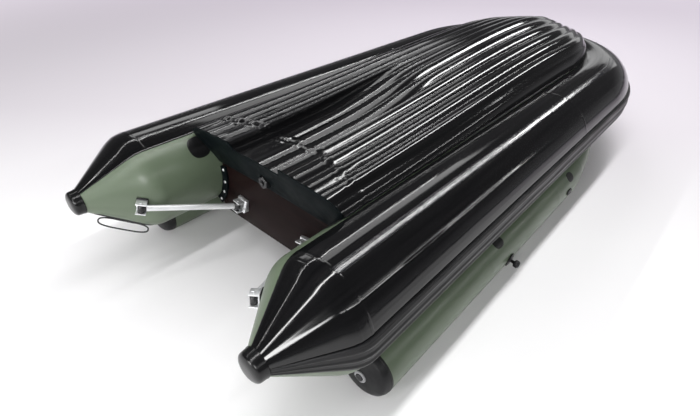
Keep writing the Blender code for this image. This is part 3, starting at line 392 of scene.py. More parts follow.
def armour_wrinkle(s, angles, seed, seams):
    """Long shallow creases of the black armour sheet, stronger by its seams."""
    t = arc(angles)[None, :]
    s = np.asarray(s)[:, None]
    wave = noise2(s * 0.6, t * 7.0, seed) * 0.0007
    wave = wave + noise2(s * 0.5, t * 30.0, seed + 1) * 0.00010
    wave = wave + noise2(s * 12.0, t * 30.0, seed + 2) * 0.00003
    degrees = np.asarray(angles)[None, :]
    for at, wide, high in RIDGES:
        line = at + noise2(s * 1.3, 0.5, seed + int(at)) * 0.7
        broken = 0.35 + 0.65 * smooth_step(noise2(s * 7.0, 3.5, seed + 2 * int(at)), -0.3, 0.5)
        fading = 1 - 0.75 * smooth_step(-s, 1.86, 1.98)
        wave = wave + bump_of(degrees, line, wide, wide * 1.4) * high * broken * fading
    for place_s in seams:
        near = np.exp(-((s - place_s) / 0.07) ** 2)
        wave = wave + near * noise2(s * 16.0, t * 40.0, seed + 5) * 0.0003
        wave = wave + bump_of(s, place_s, 0.005, 0.004) * 0.0010
    return np.maximum(wave, -0.0020)


FULL = np.arange(144) * 2.5
FULL_ARC = arc(np.append(FULL, 360.0))


def keel_side(half):
    """1 on the keel side of a tube and 0 where the glued fittings sit."""
    return bump_of((FULL[None, :] - 210) % 360, 180, half, 20)


# ---------------------------------------------------------------- buoyancy tubes and cones
for side, s in SIDES:
    seed = 11 if s > 0 else 47
    ys = np.linspace(CONE_SEAM_Y + GAP / 2, BOW_SEAM_Y - GAP / 2, 110)
    path = side_path(ys, s)
    lift = tube_wrinkle(ys, FULL, seed) * keel_side(75)
    tube = skin("tube_skin_" + side, sweep(path, FULL, lift), GREEN, ys, FULL_ARC, wrap=True, caps=True)
    place(tube, "hull", "pvc_green", "side_tube_" + side)

    ys = np.concatenate([np.linspace(CONE_END_Y, CONE_START_Y, 60),
                         np.linspace(CONE_START_Y, CONE_SEAM_Y - GAP / 2, 12)[1:]])
    path = side_path(ys, s)
    lift = noise2(ys[:, None] * 9.0, FULL[None, :] / 14.0, seed + 8) * 0.0005
    lift = lift * bump_of(ys[:, None], -2.04, 0.10, 0.07)
    lift = lift + bump_of(ys[:, None], CONE_START_Y, 0.0, 0.012) * -0.0006
    lift = lift * keel_side(70)
    cone = skin("cone_skin_" + side, sweep(path, FULL, lift), GREEN, ys, FULL_ARC, wrap=True, caps=True)
    place(cone, "hull", "pvc_green", "stern_cone_" + side)

path = bow_path(0.02, 130)
s_bow = lengths(path[0])
lift = tube_wrinkle(s_bow, FULL, 71) * keel_side(75)
tube = skin("tube_skin_bow", sweep(path, FULL, lift), GREEN, s_bow, FULL_ARC, wrap=True, caps=True)
place(tube, "hull", "pvc_green", "bow_tube")

# ---------------------------------------------------------------- armour sheets
KEEL_EDGE, STRAKE_EDGE = -30.0, 75.0
ARMOUR_ANGLES = np.linspace(KEEL_EDGE, STRAKE_EDGE, 106)
ARMOUR_LIFT = GAP + 0.0025


def armour_sheet(name, path, s, lift, *stands_for):
    """Outer skin whose edges turn down to the tube under it."""
    angles = np.concatenate([[KEEL_EDGE], ARMOUR_ANGLES, [STRAKE_EDGE]])
    full = np.full((len(s), len(angles)), GAP)
    full[:, 1:-1] = ARMOUR_LIFT + lift
    edge = np.minimum(np.minimum(ARMOUR_ANGLES - KEEL_EDGE, STRAKE_EDGE - ARMOUR_ANGLES) / 0.8, 1.0)
    full[:, 1:-1] = GAP + (full[:, 1:-1] - GAP) * np.sqrt(np.maximum(edge, 0.25))
    grid = sweep(path, angles, full)
    back = angles[::-1][2:-2:8]
    grid = np.concatenate([grid, sweep(path, back, np.full((len(s), len(back)), GAP))], axis=1)
    around = np.concatenate([arc(angles), arc(back), [arc([angles[0]])[0]]])
    piece = skin(name, grid, ARMOUR, s, around, wrap=True, caps=True)
    return place(piece, "hull", "pvc_black", *stands_for)


def side_lift(ys, angles, sign):
    """Shared by the armour and the tape on it, so that they keep together."""
    seed = 101 if sign > 0 else 141
    lift = armour_wrinkle(ys, angles, seed, (CONE_SEAM_Y, CONE_START_Y, BOW_SEAM_Y))
    cone = smooth_step(-np.asarray(ys), 1.90, 2.0)[:, None]
    pleats = noise2(np.asarray(ys)[:, None] * 3.0, np.asarray(angles)[None, :] / 6.0, seed + 9) * 0.0006
    shrink = 1 - 0.75 * smooth_step(-np.asarray(ys), 2.02, 2.20)[:, None]
    return (lift * (1 - 0.3 * cone) + pleats * cone) * shrink


def bow_lift(s, angles, total):
    """The same round the bow, with a seam at each end and at the stem."""
    lift = armour_wrinkle(s, angles, 201, (0.0, total, total / 2))
    return lift * bump_of(np.asarray(s)[:, None], total / 2, total, 0.1)


for side, s in SIDES:
    # Finer rows where the sheet bends into the cone and crosses the cone's seam
    ys = np.concatenate([np.arange(CONE_END_Y, -1.983, 0.007), np.arange(-1.980, -1.870, 0.0018),
                         np.arange(-1.866, BOW_SEAM_Y - 0.004, 0.007), [BOW_SEAM_Y - GAP / 2]])
    armour_sheet("armour_sheet_" + side, side_path(ys, s), ys, side_lift(ys, ARMOUR_ANGLES, s),
                 "armour_side_" + side)

BOW_FINE = (0.008, 260)
path = bow_path(*BOW_FINE)
s_bow = lengths(path[0])
armour_sheet("armour_sheet_bow", path, s_bow, bow_lift(s_bow, ARMOUR_ANGLES, s_bow[-1]), "armour_bow")

# Wear tapes along the armour, square ended
TAPE_INNER, TAPE_OUTER, TAPE_END_Y = 11.0, 19.0, 1.377
TAPE_UNDER, TAPE_OVER, TAPE_THICK = 0.0026, 0.0031, 0.0025
TAPE_ANGLES = np.linspace(TAPE_INNER, TAPE_OUTER, 17)
for side, s in SIDES:
    ys = np.arange(CONE_SEAM_Y + GAP, BOW_SEAM_Y, 0.01)
    straight = side_path(ys, s)
    bow = bow_path(*BOW_FINE)
    s_all = lengths(bow[0])
    keep = np.where((bow[0][:, 1] <= TAPE_END_Y) & (bow[0][:, 0] > 0))[0]
    centre = np.concatenate([straight[0], bow[0][keep] * (s, 1, 1)])
    out = np.concatenate([straight[1], bow[1][keep] * (s, 1, 1)])
    run = lengths(centre)
    s_kept = s_all[keep] if s > 0 else s_all[-1] - s_all[keep]
    lift = np.concatenate([side_lift(ys, TAPE_ANGLES, s), bow_lift(s_kept, TAPE_ANGLES, s_all[-1])])
    edge = np.minimum(np.minimum(TAPE_ANGLES - TAPE_INNER, TAPE_OUTER - TAPE_ANGLES) / 0.5, 1.0)
    top = TAPE_OVER + TAPE_THICK * np.sqrt(np.maximum(edge, 0.2))[None, :] + lift
    radius = np.full(len(centre), TUBE_R)
    upper = sweep((centre, out, radius), TAPE_ANGLES, top)
    lower = sweep((centre, out, radius), TAPE_ANGLES[::-1], TAPE_UNDER + lift[:, ::-1])
    around = np.concatenate([arc(TAPE_ANGLES), arc(TAPE_ANGLES[::-1]), [arc([TAPE_INNER])[0]]])
    grid = np.concatenate([upper, lower], axis=1)
    tape = skin("tape_strip_" + side, grid, TAPE, run, around, wrap=True, caps=True)
    place(tape, "hull", "pvc_black", "wear_tape_" + side)

# ---------------------------------------------------------------- rubbing strake
STRAKE_BASE, STRAKE_RIB = 0.007, 0.012
# Degrees from the keel and share of the rib's height
STRAKE_KEYS = ((75.15, 0.2), (77.4, 0.75), (80.5, 1.0), (83.5, 0.45), (86.8, 0.5), (90.0, 1.0),
               (93.2, 0.5), (96.5, 0.45), (99.5, 1.0), (102.6, 0.75), (104.85, 0.2))


def strake_profile():
    angles, heights = [], []
    for (a0, h0), (a1, h1) in zip(STRAKE_KEYS[:-1], STRAKE_KEYS[1:]):
        for k in range(5):
            t = k / 5
            angles.append(a0 + (a1 - a0) * t)
            heights.append(h0 + (h1 - h0) * (t * t * (3 - 2 * t)))
    angles.append(STRAKE_KEYS[-1][0])
    heights.append(STRAKE_KEYS[-1][1])
    return np.array(angles), STRAKE_BASE + STRAKE_RIB * np.array(heights)


def strake(name, path, s, scale, *stands_for):
    angles, heights = strake_profile()
    top = sweep(path, angles, GAP + heights[None, :] * scale[:, None])
    under = sweep(path, angles[::-1][::10], np.full((len(s), len(angles[::10])), GAP))
    around = np.concatenate([arc(angles), arc(angles[::-1][::10]), [arc([angles[0]])[0]]])
    grid = np.concatenate([top, under], axis=1)
    piece = skin(name, grid, STRAKE, s, around, wrap=True, caps=True, angle=50.0)
    return place(piece, "hull", "pvc_black", *stands_for)


for side, s in SIDES:
    ys = np.concatenate([np.linspace(CONE_END_Y, CONE_START_Y, 30),
                         np.linspace(CONE_START_Y, BOW_SEAM_Y - GAP / 2, 110)[1:]])
    scale = np.interp(ys, (CONE_END_Y, CONE_START_Y, CONE_SEAM_Y), (0.35, 0.9, 1.0))
    strake("strake_band_" + side, side_path(ys, s), ys, scale, "rubbing_strake_" + side)
path = bow_path(0.02, 180)
s_bow = lengths(path[0])
strake("strake_band_bow", path, s_bow, np.ones(len(s_bow)), "rubbing_strake_bow")

# ---------------------------------------------------------------- inflatable bottom
CROWN_PEAK_Y, NOSE_Y = 0.92, 1.9538
CROWN_AFT, CROWN_RISE, CROWN_PEAK = 0.095, 0.130, 0.225
EDGE_AFT, EDGE_BOW, EDGE_LIFT = 31.0, 8.0, 0.0049
# The aft end leans with the face of the transom: height of the pivot, slope, and how far it reaches
LEAN_Z, LEAN_SLOPE, LEAN_REACH = 0.565, 0.40, 0.218
COLUMNS, UNDER = 288, 16
TUNNEL_HALF_SHARE, TUNNEL_DEPTH = 0.32, 0.045
RIB_WAVES, RIB_HEIGHT = 6, 0.014
SEAM_Y, SEAM_SWEEP, SEAM_HEIGHT = -1.35, 0.19, 0.0024
# Puckered areas by the transom: x from and to, y from and to, and how strongly
PUCKERS = ((0.38, 0.53, -1.64, -1.34, 1.0), (-0.32, -0.14, -1.62, -1.22, 0.8),
           (-0.53, -0.38, -1.64, -1.38, 0.8), (0.20, 0.30, -1.50, -1.30, 0.35))


def crown_height(y):
    """Rise of the bottom's middle over its edges."""
    share = np.clip((y - TRANSOM_Y) / (CROWN_PEAK_Y - TRANSOM_Y), 0.0, 1.0)
    aft = CROWN_AFT + CROWN_RISE * share * share * (3 - 2 * share)
    ahead = np.clip((y - CROWN_PEAK_Y) / (NOSE_Y - CROWN_PEAK_Y), 0.0, 1.0)
    return np.where(y <= CROWN_PEAK_Y, aft, CROWN_PEAK * np.maximum(1 - ahead ** 2.4, 0.0) ** 0.6)


def bottom_top(edge_x, edge_z, y, u):
    """Heights of the keel side over a grid of stations and shares of the half width."""
    share = np.clip((y - TRANSOM_Y) / (CROWN_PEAK_Y - TRANSOM_Y), 0.0, 1.0)
    flat = 0.68 - 0.18 * share
    w = np.abs(u)
    shape = flat * (1 - w ** 12) + (1 - flat) * (1 - w ** 1.15)
    fade = smooth_step(-(y - TRANSOM_Y), -1.35, -0.55)
    tunnel = fade * np.where(w < TUNNEL_HALF_SHARE, 1.0, 0.0)
    z = edge_z + crown_height(y) * shape - TUNNEL_DEPTH * tunnel
    lobe = np.sqrt(np.cos(np.pi * u * RIB_WAVES) ** 2 + 0.0012)
    x = edge_x * u
    seam = SEAM_Y - SEAM_SWEEP * np.abs(x)
    aft_panel = smooth_step(seam - y, -0.012, 0.012)
    quiet = np.where(tunnel > 0.0, 0.35 + 0.65 * (1 - smooth_step(tunnel, 0.0, 0.6)), 1.0)
    rib = RIB_HEIGHT * lobe * quiet * (1 - w ** 14)
    z = z + rib * (1 - 0.30 * aft_panel)
    wrinkle = noise2(y * 0.5, x * 8, 301) * 0.0008 + noise2(y * 0.3, x * 36, 302) * 0.00012
    wrinkle = wrinkle + noise2(y * 5, x * 16, 303) * 0.00002
    band = bump_of(y, seam, 0.010, 0.005) + bump_of(y, seam - 0.034, 0.003, 0.004) * 0.6
    z = z + band * SEAM_HEIGHT + wrinkle
    for x0, x1, y0, y1, amount in PUCKERS:
        near = bump_of(x, (x0 + x1) / 2, (x1 - x0) / 2 - 0.03, 0.06)
        near = near * bump_of(y, (y0 + y1) / 2, (y1 - y0) / 2 - 0.05, 0.12)
        fold = noise2(y * 15, x * 20, 311) * 0.0020 + noise2(y * 30, x * 40, 312) * 0.0003
        z = z + near * amount * fold
    return z


def bottom_grid():
    """Rings of the bottom from the transom to its nose, closer together by the crossing seam."""
    ys = np.concatenate([np.arange(TRANSOM_Y, -1.154, 0.006),
                         np.arange(-1.150, BOW_CURVE_Y - 0.004, 0.015)])
    centre, out, _ = side_path(ys, 1.0)
    turns = np.linspace(0.0, 0.985, 100)
    c, o = bow_half(turns)
    centre, out = np.concatenate([centre, c]), np.concatenate([out, o])
    turn = np.concatenate([np.zeros(len(ys)), turns])
    angle = -(EDGE_AFT + (EDGE_BOW - EDGE_AFT) * turn ** 1.3)

    def seat(extra):
        a = np.radians(angle - extra)
        r = TUBE_R + EDGE_LIFT
        return centre + out * (r * np.sin(a))[:, None] + Z * (r * np.cos(a))[:, None]

    edge, middle, inner = seat(0.0), seat(7.0), seat(14.0)
    u = 1 - 2 * np.arange(COLUMNS + 1) / COLUMNS
    x = edge[:, :1] * u[None, :]
    y = np.repeat(edge[:, 1:2], COLUMNS + 1, axis=1)
    z = bottom_top(edge[:, :1], edge[:, 2:3], y, u[None, :])
    z[:, 0] = z[:, -1] = edge[:, 2]
    top = np.stack([x, y, z], axis=2)
    v = -1 + 2 * np.arange(UNDER + 1) / UNDER
    under = np.stack([inner[:, :1] * v[None, :], np.repeat(inner[:, 1:2], UNDER + 1, axis=1),
                      np.repeat(inner[:, 2:3], UNDER + 1, axis=1)], axis=2)
    flip = np.array((-1.0, 1.0, 1.0))
    grid = np.concatenate([top, (middle * flip)[:, None, :], under, middle[:, None, :]], axis=1)
    shift = -(grid[..., 2] - LEAN_Z) * LEAN_SLOPE + GAP
    reach = np.clip(1 - (grid[..., 1] - TRANSOM_Y) / LEAN_REACH, 0.0, 1.0)
    grid[..., 1] += shift * reach
    return grid, edge[:, 1]


grid, ys = bottom_grid()
ring = grid[len(grid) // 3]
around = lengths(np.concatenate([ring, ring[:1]]))
floor_skin = skin("bottom_skin", grid, BOTTOM, ys, around, wrap=True, caps=True, angle=50.0)
place(floor_skin, "hull", "pvc_black", "inflatable_bottom")


# ---------------------------------------------------------------- turned pieces
def across(direction):
    """A direction and two more at right angles to it."""
    d = Vector(direction).normalized()
    side = d.cross(Vector((0, 0, 1)))
    if side.length < 1e-3:
        side = d.cross(Vector((1, 0, 0)))
    side.normalize()
    return np.array(d), np.array(side), np.array(side.cross(d).normalized())


def turned(name, start, direction, profile, mat, count):
    """Turned piece from (distance along, radius) pairs, closed at both ends."""
    d, a, b = across(direction)
    t = np.arange(count) * 2 * np.pi / count
    circle = np.cos(t)[:, None] * a + np.sin(t)[:, None] * b
    grid = np.array([start + d * along + circle * radius for along, radius in profile])
    run = [0.0]
    for (l0, r0), (l1, r1) in zip(profile[:-1], profile[1:]):
        run.append(run[-1] + math.hypot(l1 - l0, r1 - r0))
    run.append(run[-1] + 0.01)
    around = np.arange(count + 1) * (2 * np.pi / count) * max(r for _, r in profile)
    return skin(name, grid, mat, run, around, wrap=True, caps=True, angle=32.0)


def rounded(keys, steps):
    """A smooth profile through key points, by Catmull-Rom."""
    keys = [np.array(k, float) for k in keys]
    keys = [keys[0]] + keys + [keys[-1]]
    out = []
    for p0, p1, p2, p3 in zip(keys[:-3], keys[1:-2], keys[2:-1], keys[3:]):
        for k in range(steps):
            t = k / steps
            out.append(tuple(0.5 * (2 * p1 + (p2 - p0) * t + (2 * p0 - 5 * p1 + 4 * p2 - p3) * t * t
                                    + (3 * p1 - p0 - 3 * p2 + p3) * t ** 3)))
    out.append(tuple(keys[-2]))
    return out


NOSE_SKIRT, NOSE_DOME, NOSE_R = 0.0317, 0.021, 0.0622
for side, s in SIDES:
    # Moulded nose of each cone: a shallow lip, a straight skirt and a domed end
    centre, _, _ = side_path([CONE_END_Y - GAP, STERN_Y], s)
    profile = [(0.0, 0.0640), (0.0015, 0.0655), (0.006, 0.0655), (0.0085, 0.0640), (0.020, 0.0632),
               (NOSE_SKIRT, NOSE_R)]
    for k in range(1, 11):
        t = k / 10 * math.pi / 2
        profile.append((NOSE_SKIRT + NOSE_DOME * math.sin(t), NOSE_R * math.cos(t) ** 0.6 if k < 10 else 0.004))
    cap = turned("cone_nose_" + side, centre[0], (0, -1, 0), profile, NOSE, 96)
    place(cap, "hull", "rubber", "cone_cap_" + side)

# ---------------------------------------------------------------- bulwark tubes
BULWARK_AFT, BULWARK_TAPER, BULWARK_TIP = -1.757, 0.343, 0.863
BULWARK_R, BULWARK_TIP_R, BULWARK_ANGLE = 0.130, 0.068, math.radians(157.177)
BULWARK_SEAMS = (-0.86, 0.05, 0.52)
# Moulded end: its depth, and shares of that depth and of the radius
END_DEPTH, END_KEYS = 0.062, ((0.40, 0.985), (0.72, 0.90), (0.92, 0.72), (1.0, 0.46))


def bulwark_axis(y, sign):
    """Centres and radii of a bulwark tube, which tapers to its bow end."""
    y = np.asarray(y, float)
    share = np.clip((y - BULWARK_TAPER) / (BULWARK_TIP - BULWARK_TAPER), 0.0, 1.0)
    radius = BULWARK_R + (BULWARK_TIP_R - BULWARK_R) * share ** 1.5
    reach = TUBE_R + 0.00058 + radius
    centre = np.stack([sign * (AXIS_X + reach * math.sin(BULWARK_ANGLE)), y,
                       AXIS_Z + reach * math.cos(BULWARK_ANGLE)], axis=1)
    return centre, radius


for side, s in SIDES:
    seed = 401 if s > 0 else 441
    ys = np.concatenate([np.linspace(BULWARK_AFT, BULWARK_TAPER, 150),
                         np.linspace(BULWARK_TAPER, BULWARK_TIP, 50)[1:]])
    centre, radius = bulwark_axis(ys, s)
    out = np.tile(np.array((s, 0.0, 0.0)), (len(ys), 1))
    t = FULL[None, :] / 360.0 * 2 * np.pi
    lift = noise2(ys[:, None] * 3.0, np.sin(t) * 1.6 + 7, seed) * 0.0006
    lift = lift + noise2(ys[:, None] * 13.0, np.cos(t) * 3 + 5, seed + 1) * 0.00022
    for seam in BULWARK_SEAMS:
        near = np.exp(-((ys[:, None] - seam) / 0.05) ** 2)
        lift = lift + bump_of(ys[:, None], seam, 0.012, 0.004) * 0.0007
        lift = lift + near * noise2(ys[:, None] * 20, t * 5, seed + 2) * 0.0003
    lift = lift * bump_of(FULL[None, :], 60.0, 85.0, 25.0)
    grid = sweep((centre, out, radius), FULL, lift)
    around = arc(np.append(FULL, 360.0), BULWARK_R)
    tube = skin("bulwark_skin_" + side, grid, GREEN, ys, around, wrap=True, caps=True)
    place(tube, "hull", "pvc_green", "bulwark_" + side)

    # Glued web between the main tube and the bulwark
    ys = np.linspace(BULWARK_AFT, BULWARK_TAPER, 40)
    host = side_path(ys, s)
    towards = np.degrees(BULWARK_ANGLE)
    upper = sweep(host, towards + np.array((-7.0, -3.5, 0.0, 3.5, 7.0)), 0.0008)
    centre, radius = bulwark_axis(ys, s)
    back = towards + 180.0 + np.array((-16.0, -8.0, 0.0, 8.0, 16.0))
    lower = sweep((centre, host[1], radius), back, -0.003)
    grid = np.concatenate([upper, lower], axis=1)
    web = skin("bulwark_web_" + side, grid, GREEN, ys, np.linspace(0, 0.1, 11), wrap=True, caps=True)
    place(web, "hull", "pvc_green")

    # Moulded rubber end of the bulwark
    end = BULWARK_AFT - GAP
    profile = [(0.0, BULWARK_R), (0.010, BULWARK_R), (0.0115, BULWARK_R - 0.0015)]
    profile += [(END_DEPTH * a, BULWARK_R * b - 0.0012) for a, b in rounded(END_KEYS, 8)]
    centre, _ = bulwark_axis([end], s)
    cap = turned("bulwark_end_" + side, centre[0], (0, -1, 0), profile, RUBBER, 120)
    place(cap, "hull", "rubber", "bulwark_cap_" + side)

# ---------------------------------------------------------------- carry handles
HANDLE_Y, HANDLE_HALF, HANDLE_REACH = TRANSOM_Y - 0.515, 0.105, 0.027
HANDLE_ANGLE = 150.0
for side, s in SIDES:
    a = math.radians(-HANDLE_ANGLE)
    c, o, r = side_path([HANDLE_Y + HANDLE_HALF, HANDLE_Y - HANDLE_HALF], s)
    ends = c + o * ((r + GAP) * math.sin(a))[:, None] + Z * ((r + GAP) * math.cos(a))[:, None]
    run = ends[1] - ends[0]
    half = np.linalg.norm(run) / 2
    run /= 2 * half
    outward = np.array((s * math.sin(a), 0.0, math.cos(a)))
    outward -= run * outward.dot(run)
    outward /= np.linalg.norm(outward)
    sideways = np.cross(run, outward)
    centre = ends.mean(axis=0) + outward * HANDLE_REACH
    t = np.arange(120) * 2 * np.pi / 120
    u = np.sign(np.cos(t)) * np.abs(np.cos(t)) ** 0.55 * (half - 0.008)
    v = np.sign(np.sin(t)) * np.abs(np.sin(t)) ** 0.75 * 0.023
    line = centre + u[:, None] * run - v[:, None] * outward
    tangent = np.roll(line, -1, axis=0) - np.roll(line, 1, axis=0)
    tangent /= np.linalg.norm(tangent, axis=1)[:, None]
    normal = np.cross(tangent, sideways)
    b = np.arange(16) * 2 * np.pi / 16
    grip = 0.004 + 0.0012 * bump_of(u, 0.0, 0.045, 0.012) * (v > 0)
    circle = sideways * np.cos(b)[None, :, None] + normal[:, None, :] * np.sin(b)[None, :, None]
    grid = line[:, None, :] + circle * grip[:, None, None]
    run_s = np.append(lengths(line), 0.5)
    handle = skin("handle_loop_" + side, grid, GRIP, run_s, b.tolist() + [2 * np.pi], wrap=True, loop=True)
    place(handle, "hull", "grip", "stern_handle_" + side)


# ---------------------------------------------------------------- hard pieces with softened edges
def finished(node, mat, slot, bevel=0.0008, limit=38.0):
    """A copy of a hard CAD solid whose edges are rounded and whose curves are shaded smooth."""
    source = nodes[node]
    mesh = source.data.copy()
    mesh.name = node + "_finished"
    work = bmesh.new()
    work.from_mesh(mesh)
    bmesh.ops.remove_doubles(work, verts=work.verts, dist=1e-5)
    if bevel:
        bmesh.ops.dissolve_limit(work, angle_limit=math.radians(1.0), verts=work.verts, edges=work.edges)
        sharp = [e for e in work.edges
                 if len(e.link_faces) == 2 and e.calc_face_angle(0.0) > math.radians(limit)]
        bmesh.ops.bevel(work, geom=sharp, offset=bevel, segments=2, profile=0.5,
                        affect='EDGES', clamp_overlap=True)
    bmesh.ops.triangulate(work, faces=[f for f in work.faces if len(f.verts) > 4])
    work.to_mesh(mesh)
    work.free()
    mesh.materials.clear()
    mesh.materials.append(mat)
    mesh.shade_smooth()
    mesh.set_sharp_from_angle(angle=math.radians(38.0))
    obj = bpy.data.objects.new(node + "_finished", mesh)
    bpy.context.scene.collection.objects.link(obj)
    return place(obj, source["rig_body"], slot, node)


SLEEVE_R, SLEEVE_END = 0.0158, 0.021
pins = {side: [(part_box(n + side)[0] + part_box(n + side)[1]) / 2 for n in ("transom_pin_", "cone_pin_")]
        for side, _ in SIDES}
finished("transom_board", BOARD, "plywood", 0.0025)
finished("transom_fairing", SLATE, "slate", 0.0012)
finished("drain_valve_nut", DARK_PLASTIC, "rubber", 0.001)
finished("drain_plug", PLASTIC, "grey_plastic", 0.0008)
for side, s in SIDES:
    finished("transom_holder_" + side, SLATE, "slate", 0.0012)
    finished("transom_bolts_" + side, METAL, "bright_metal", 0.0005, 50.0)
    finished("transom_fork_" + side, METAL, "bright_metal", 0.0012)
    finished("cone_fork_" + side, METAL, "bright_metal", 0.0012)
    finished("transom_pin_" + side, METAL, "bright_metal", 0.0006)
    finished("cone_pin_" + side, METAL, "bright_metal", 0.0006)
    finished("stay_" + side, DARK_PLASTIC, "bright_metal", 0.0)
    # Bright tube of the stay, between its two dark eyes
    near, far = (np.array(p) for p in pins[side])
    run = (far - near) / np.linalg.norm(far - near)
    reach = np.linalg.norm(far - near) - 2 * SLEEVE_END
    profile = ((0.0, SLEEVE_R - 0.0013), (0.0012, SLEEVE_R),
               (reach - 0.0012, SLEEVE_R), (reach, SLEEVE_R - 0.0013))
    sleeve = turned("stay_sleeve_" + side, near + run * SLEEVE_END, run, profile, METAL_TUBE, 40)
    place(sleeve, "stay_" + side, "bright_metal")
    finished("cone_fork_pad_" + side, RUBBER, "rubber", 0.002)
    finished("bulwark_nose_" + side, RUBBER, "rubber", 0.002, 25.0)
    finished("bulwark_tab_" + side, RUBBER, "rubber", 0.0015)
    finished("bulwark_valve_" + side, PLASTIC, "grey_plastic", 0.001)
    finished("bulwark_valve_cap_" + side, DARK_PLASTIC, "rubber", 0.0008)
    finished("oarlock_" + side, RUBBER, "rubber", 0.0012)
    finished("oarlock_base_" + side, RUBBER, "rubber", 0.001)
    for label in ("aft", "fore"):
        finished("grab_line_patch_" + label + "_" + side, RUBBER, "rubber", 0.001)

# Hexagonal collar of the drain valve, bored through: distance along, then a share of the hexagon
# or, where the last number is 0, a plain radius
DRAIN_HALF_FLATS = 0.0290
DRAIN_RINGS = ((-0.0580, 0.86, 1), (-0.0565, 0.95, 1), (-0.0540, 1.0, 1), (-0.0003, 1.0, 1),
               (-0.0003, 0.016, 0), (0.0566, 0.016, 0), (0.0566, 0.011, 0), (-0.0500, 0.011, 0),
               (-0.0535, 0.0125, 0), (-0.0580, 0.0165, 0))
t = np.radians(np.arange(96) * 3.75)
hexagon = DRAIN_HALF_FLATS / np.cos((t + np.pi / 6) % (np.pi / 3) - np.pi / 6)
drain_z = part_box("drain_valve_body")[0].z * 0.5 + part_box("drain_valve_body")[1].z * 0.5
rows = []
for along, share, hexed in DRAIN_RINGS:
    r = hexagon * share if hexed else np.full(96, share)
    rows.append(np.stack([r * np.cos(t), np.full(96, TRANSOM_Y + along), drain_z + r * np.sin(t)], axis=1))
drain = skin("drain_collar", np.array(rows), DARK_PLASTIC, np.linspace(0, 0.1, 11), np.linspace(0, 0.18, 97),
             wrap=True, loop=True, angle=25.0)
place(drain, "hull", "rubber", "drain_valve_body")


# ---------------------------------------------------------------- glued patches
def patch(name, path_at, angle, half_along, half_arc, mat, slot, thick=0.0012, power=2.4):
    """Thin rounded patch glued on a tube round a station and an angle."""
    n = 33
    u = np.linspace(-1, 1, n)
    g, h = np.meshgrid(u, u, indexing="ij")
    squeeze = np.maximum(np.abs(g), np.abs(h))
    round_r = (np.abs(g) ** power + np.abs(h) ** power) ** (1 / power)
    fit = np.where(round_r > 0, squeeze / np.maximum(round_r, 1e-6), 1.0)
    g, h = g * fit, h * fit
    y0, sign, radius_of = path_at
    lift = thick * (1 - np.clip((squeeze - 0.88) / 0.12, 0, 1) ** 2) + 0.0002
    centre, radius = radius_of(y0 + g.ravel() * half_along, sign)
    a = math.radians(angle) + h.ravel() * half_arc / radius
    r = radius + lift.ravel()
    points = centre + np.stack([sign * r * np.sin(a), np.zeros(len(r)), r * np.cos(a)], axis=1)
    piece = skin(name, points.reshape(n, n, 3), mat, u * half_along, u * half_arc)
    return place(piece, "hull", slot)


def tube_at(y, sign):
    centre, _, radius = side_path(y, sign)
    return centre, radius


for side, s in SIDES:
    patch("handle_patch_" + side, (HANDLE_Y, s, tube_at), -HANDLE_ANGLE, 0.118, 0.026, RUBBER, "rubber",
          0.0020, 4.0)
    patch("holder_patch_" + side, (-1.640, s, tube_at), -48.0, 0.060, 0.060, STRAKE, "pvc_black")
    patch("moon_patch_aft_" + side, (-0.730, s, bulwark_axis), 28.0, 0.045, 0.034, STRAKE, "pvc_black")
    patch("moon_patch_fore_" + side, (0.290, s, bulwark_axis), 44.0, 0.045, 0.034, STRAKE, "pvc_black")

# ---------------------------------------------------------------- floor, light and camera
VIEW_YAW, VIEW_PITCH, VIEW_ROLL, VIEW_LENS = 40.19, 35.97, 2.22, 23.77
VIEW_FROM = (1.533, -2.765, 1.868)
PAPER_FADE = (4.5, 9.0)
bpy.ops.mesh.primitive_plane_add(size=80)
floor = bpy.context.object
floor.name = "studio_floor"
mat = bpy.data.materials.new("studio_paper")
mat.use_nodes = True
tree = mat.node_tree
shader = tree.nodes["Principled BSDF"]
shader.inputs["Roughness"].default_value = 0.9
shader.inputs["Specular IOR Level"].default_value = 0.0
coord = tree.nodes.new("ShaderNodeTexCoord")
turn = tree.nodes.new("ShaderNodeMapping")
turn.vector_type = "POINT"
turn.inputs["Rotation"].default_value = (0, 0, math.radians(-VIEW_YAW))
# Paper colour: near white close by, darkening to a lavender grey along the view away from the camera, which is
# painted falloff of light over the far paper
split = tree.nodes.new("ShaderNodeSeparateXYZ")
ramp = tree.nodes.new("ShaderNodeMapRange")
ramp.inputs["From Min"].default_value = -2.0
ramp.inputs["From Max"].default_value = 6.0
paper_white_and_painted_falloff = tree.nodes.new("ShaderNodeValToRGB")
paper_white_and_painted_falloff.color_ramp.elements[0].position = 0.0
paper_white_and_painted_falloff.color_ramp.elements[0].color = (0.94, 0.935, 0.94, 1)
paper_white_and_painted_falloff.color_ramp.elements[1].position = 1.0
paper_white_and_painted_falloff.color_ramp.elements[1].color = (0.68, 0.62, 0.70, 1)
for position, colour in ((0.15, (0.93, 0.92, 0.93)), (0.36, (0.80, 0.76, 0.805))):
    element = paper_white_and_painted_falloff.color_ramp.elements.new(position)
    element.color = (*colour, 1)
link(tree, coord.outputs["Object"], turn.inputs["Vector"])
link(tree, turn.outputs["Vector"], split.inputs["Vector"])
link(tree, split.outputs["Y"], ramp.inputs["Value"])
link(tree, ramp.outputs["Result"], paper_white_and_painted_falloff.inputs["Fac"])
link(tree, paper_white_and_painted_falloff.outputs["Color"], shader.inputs["Base Color"])
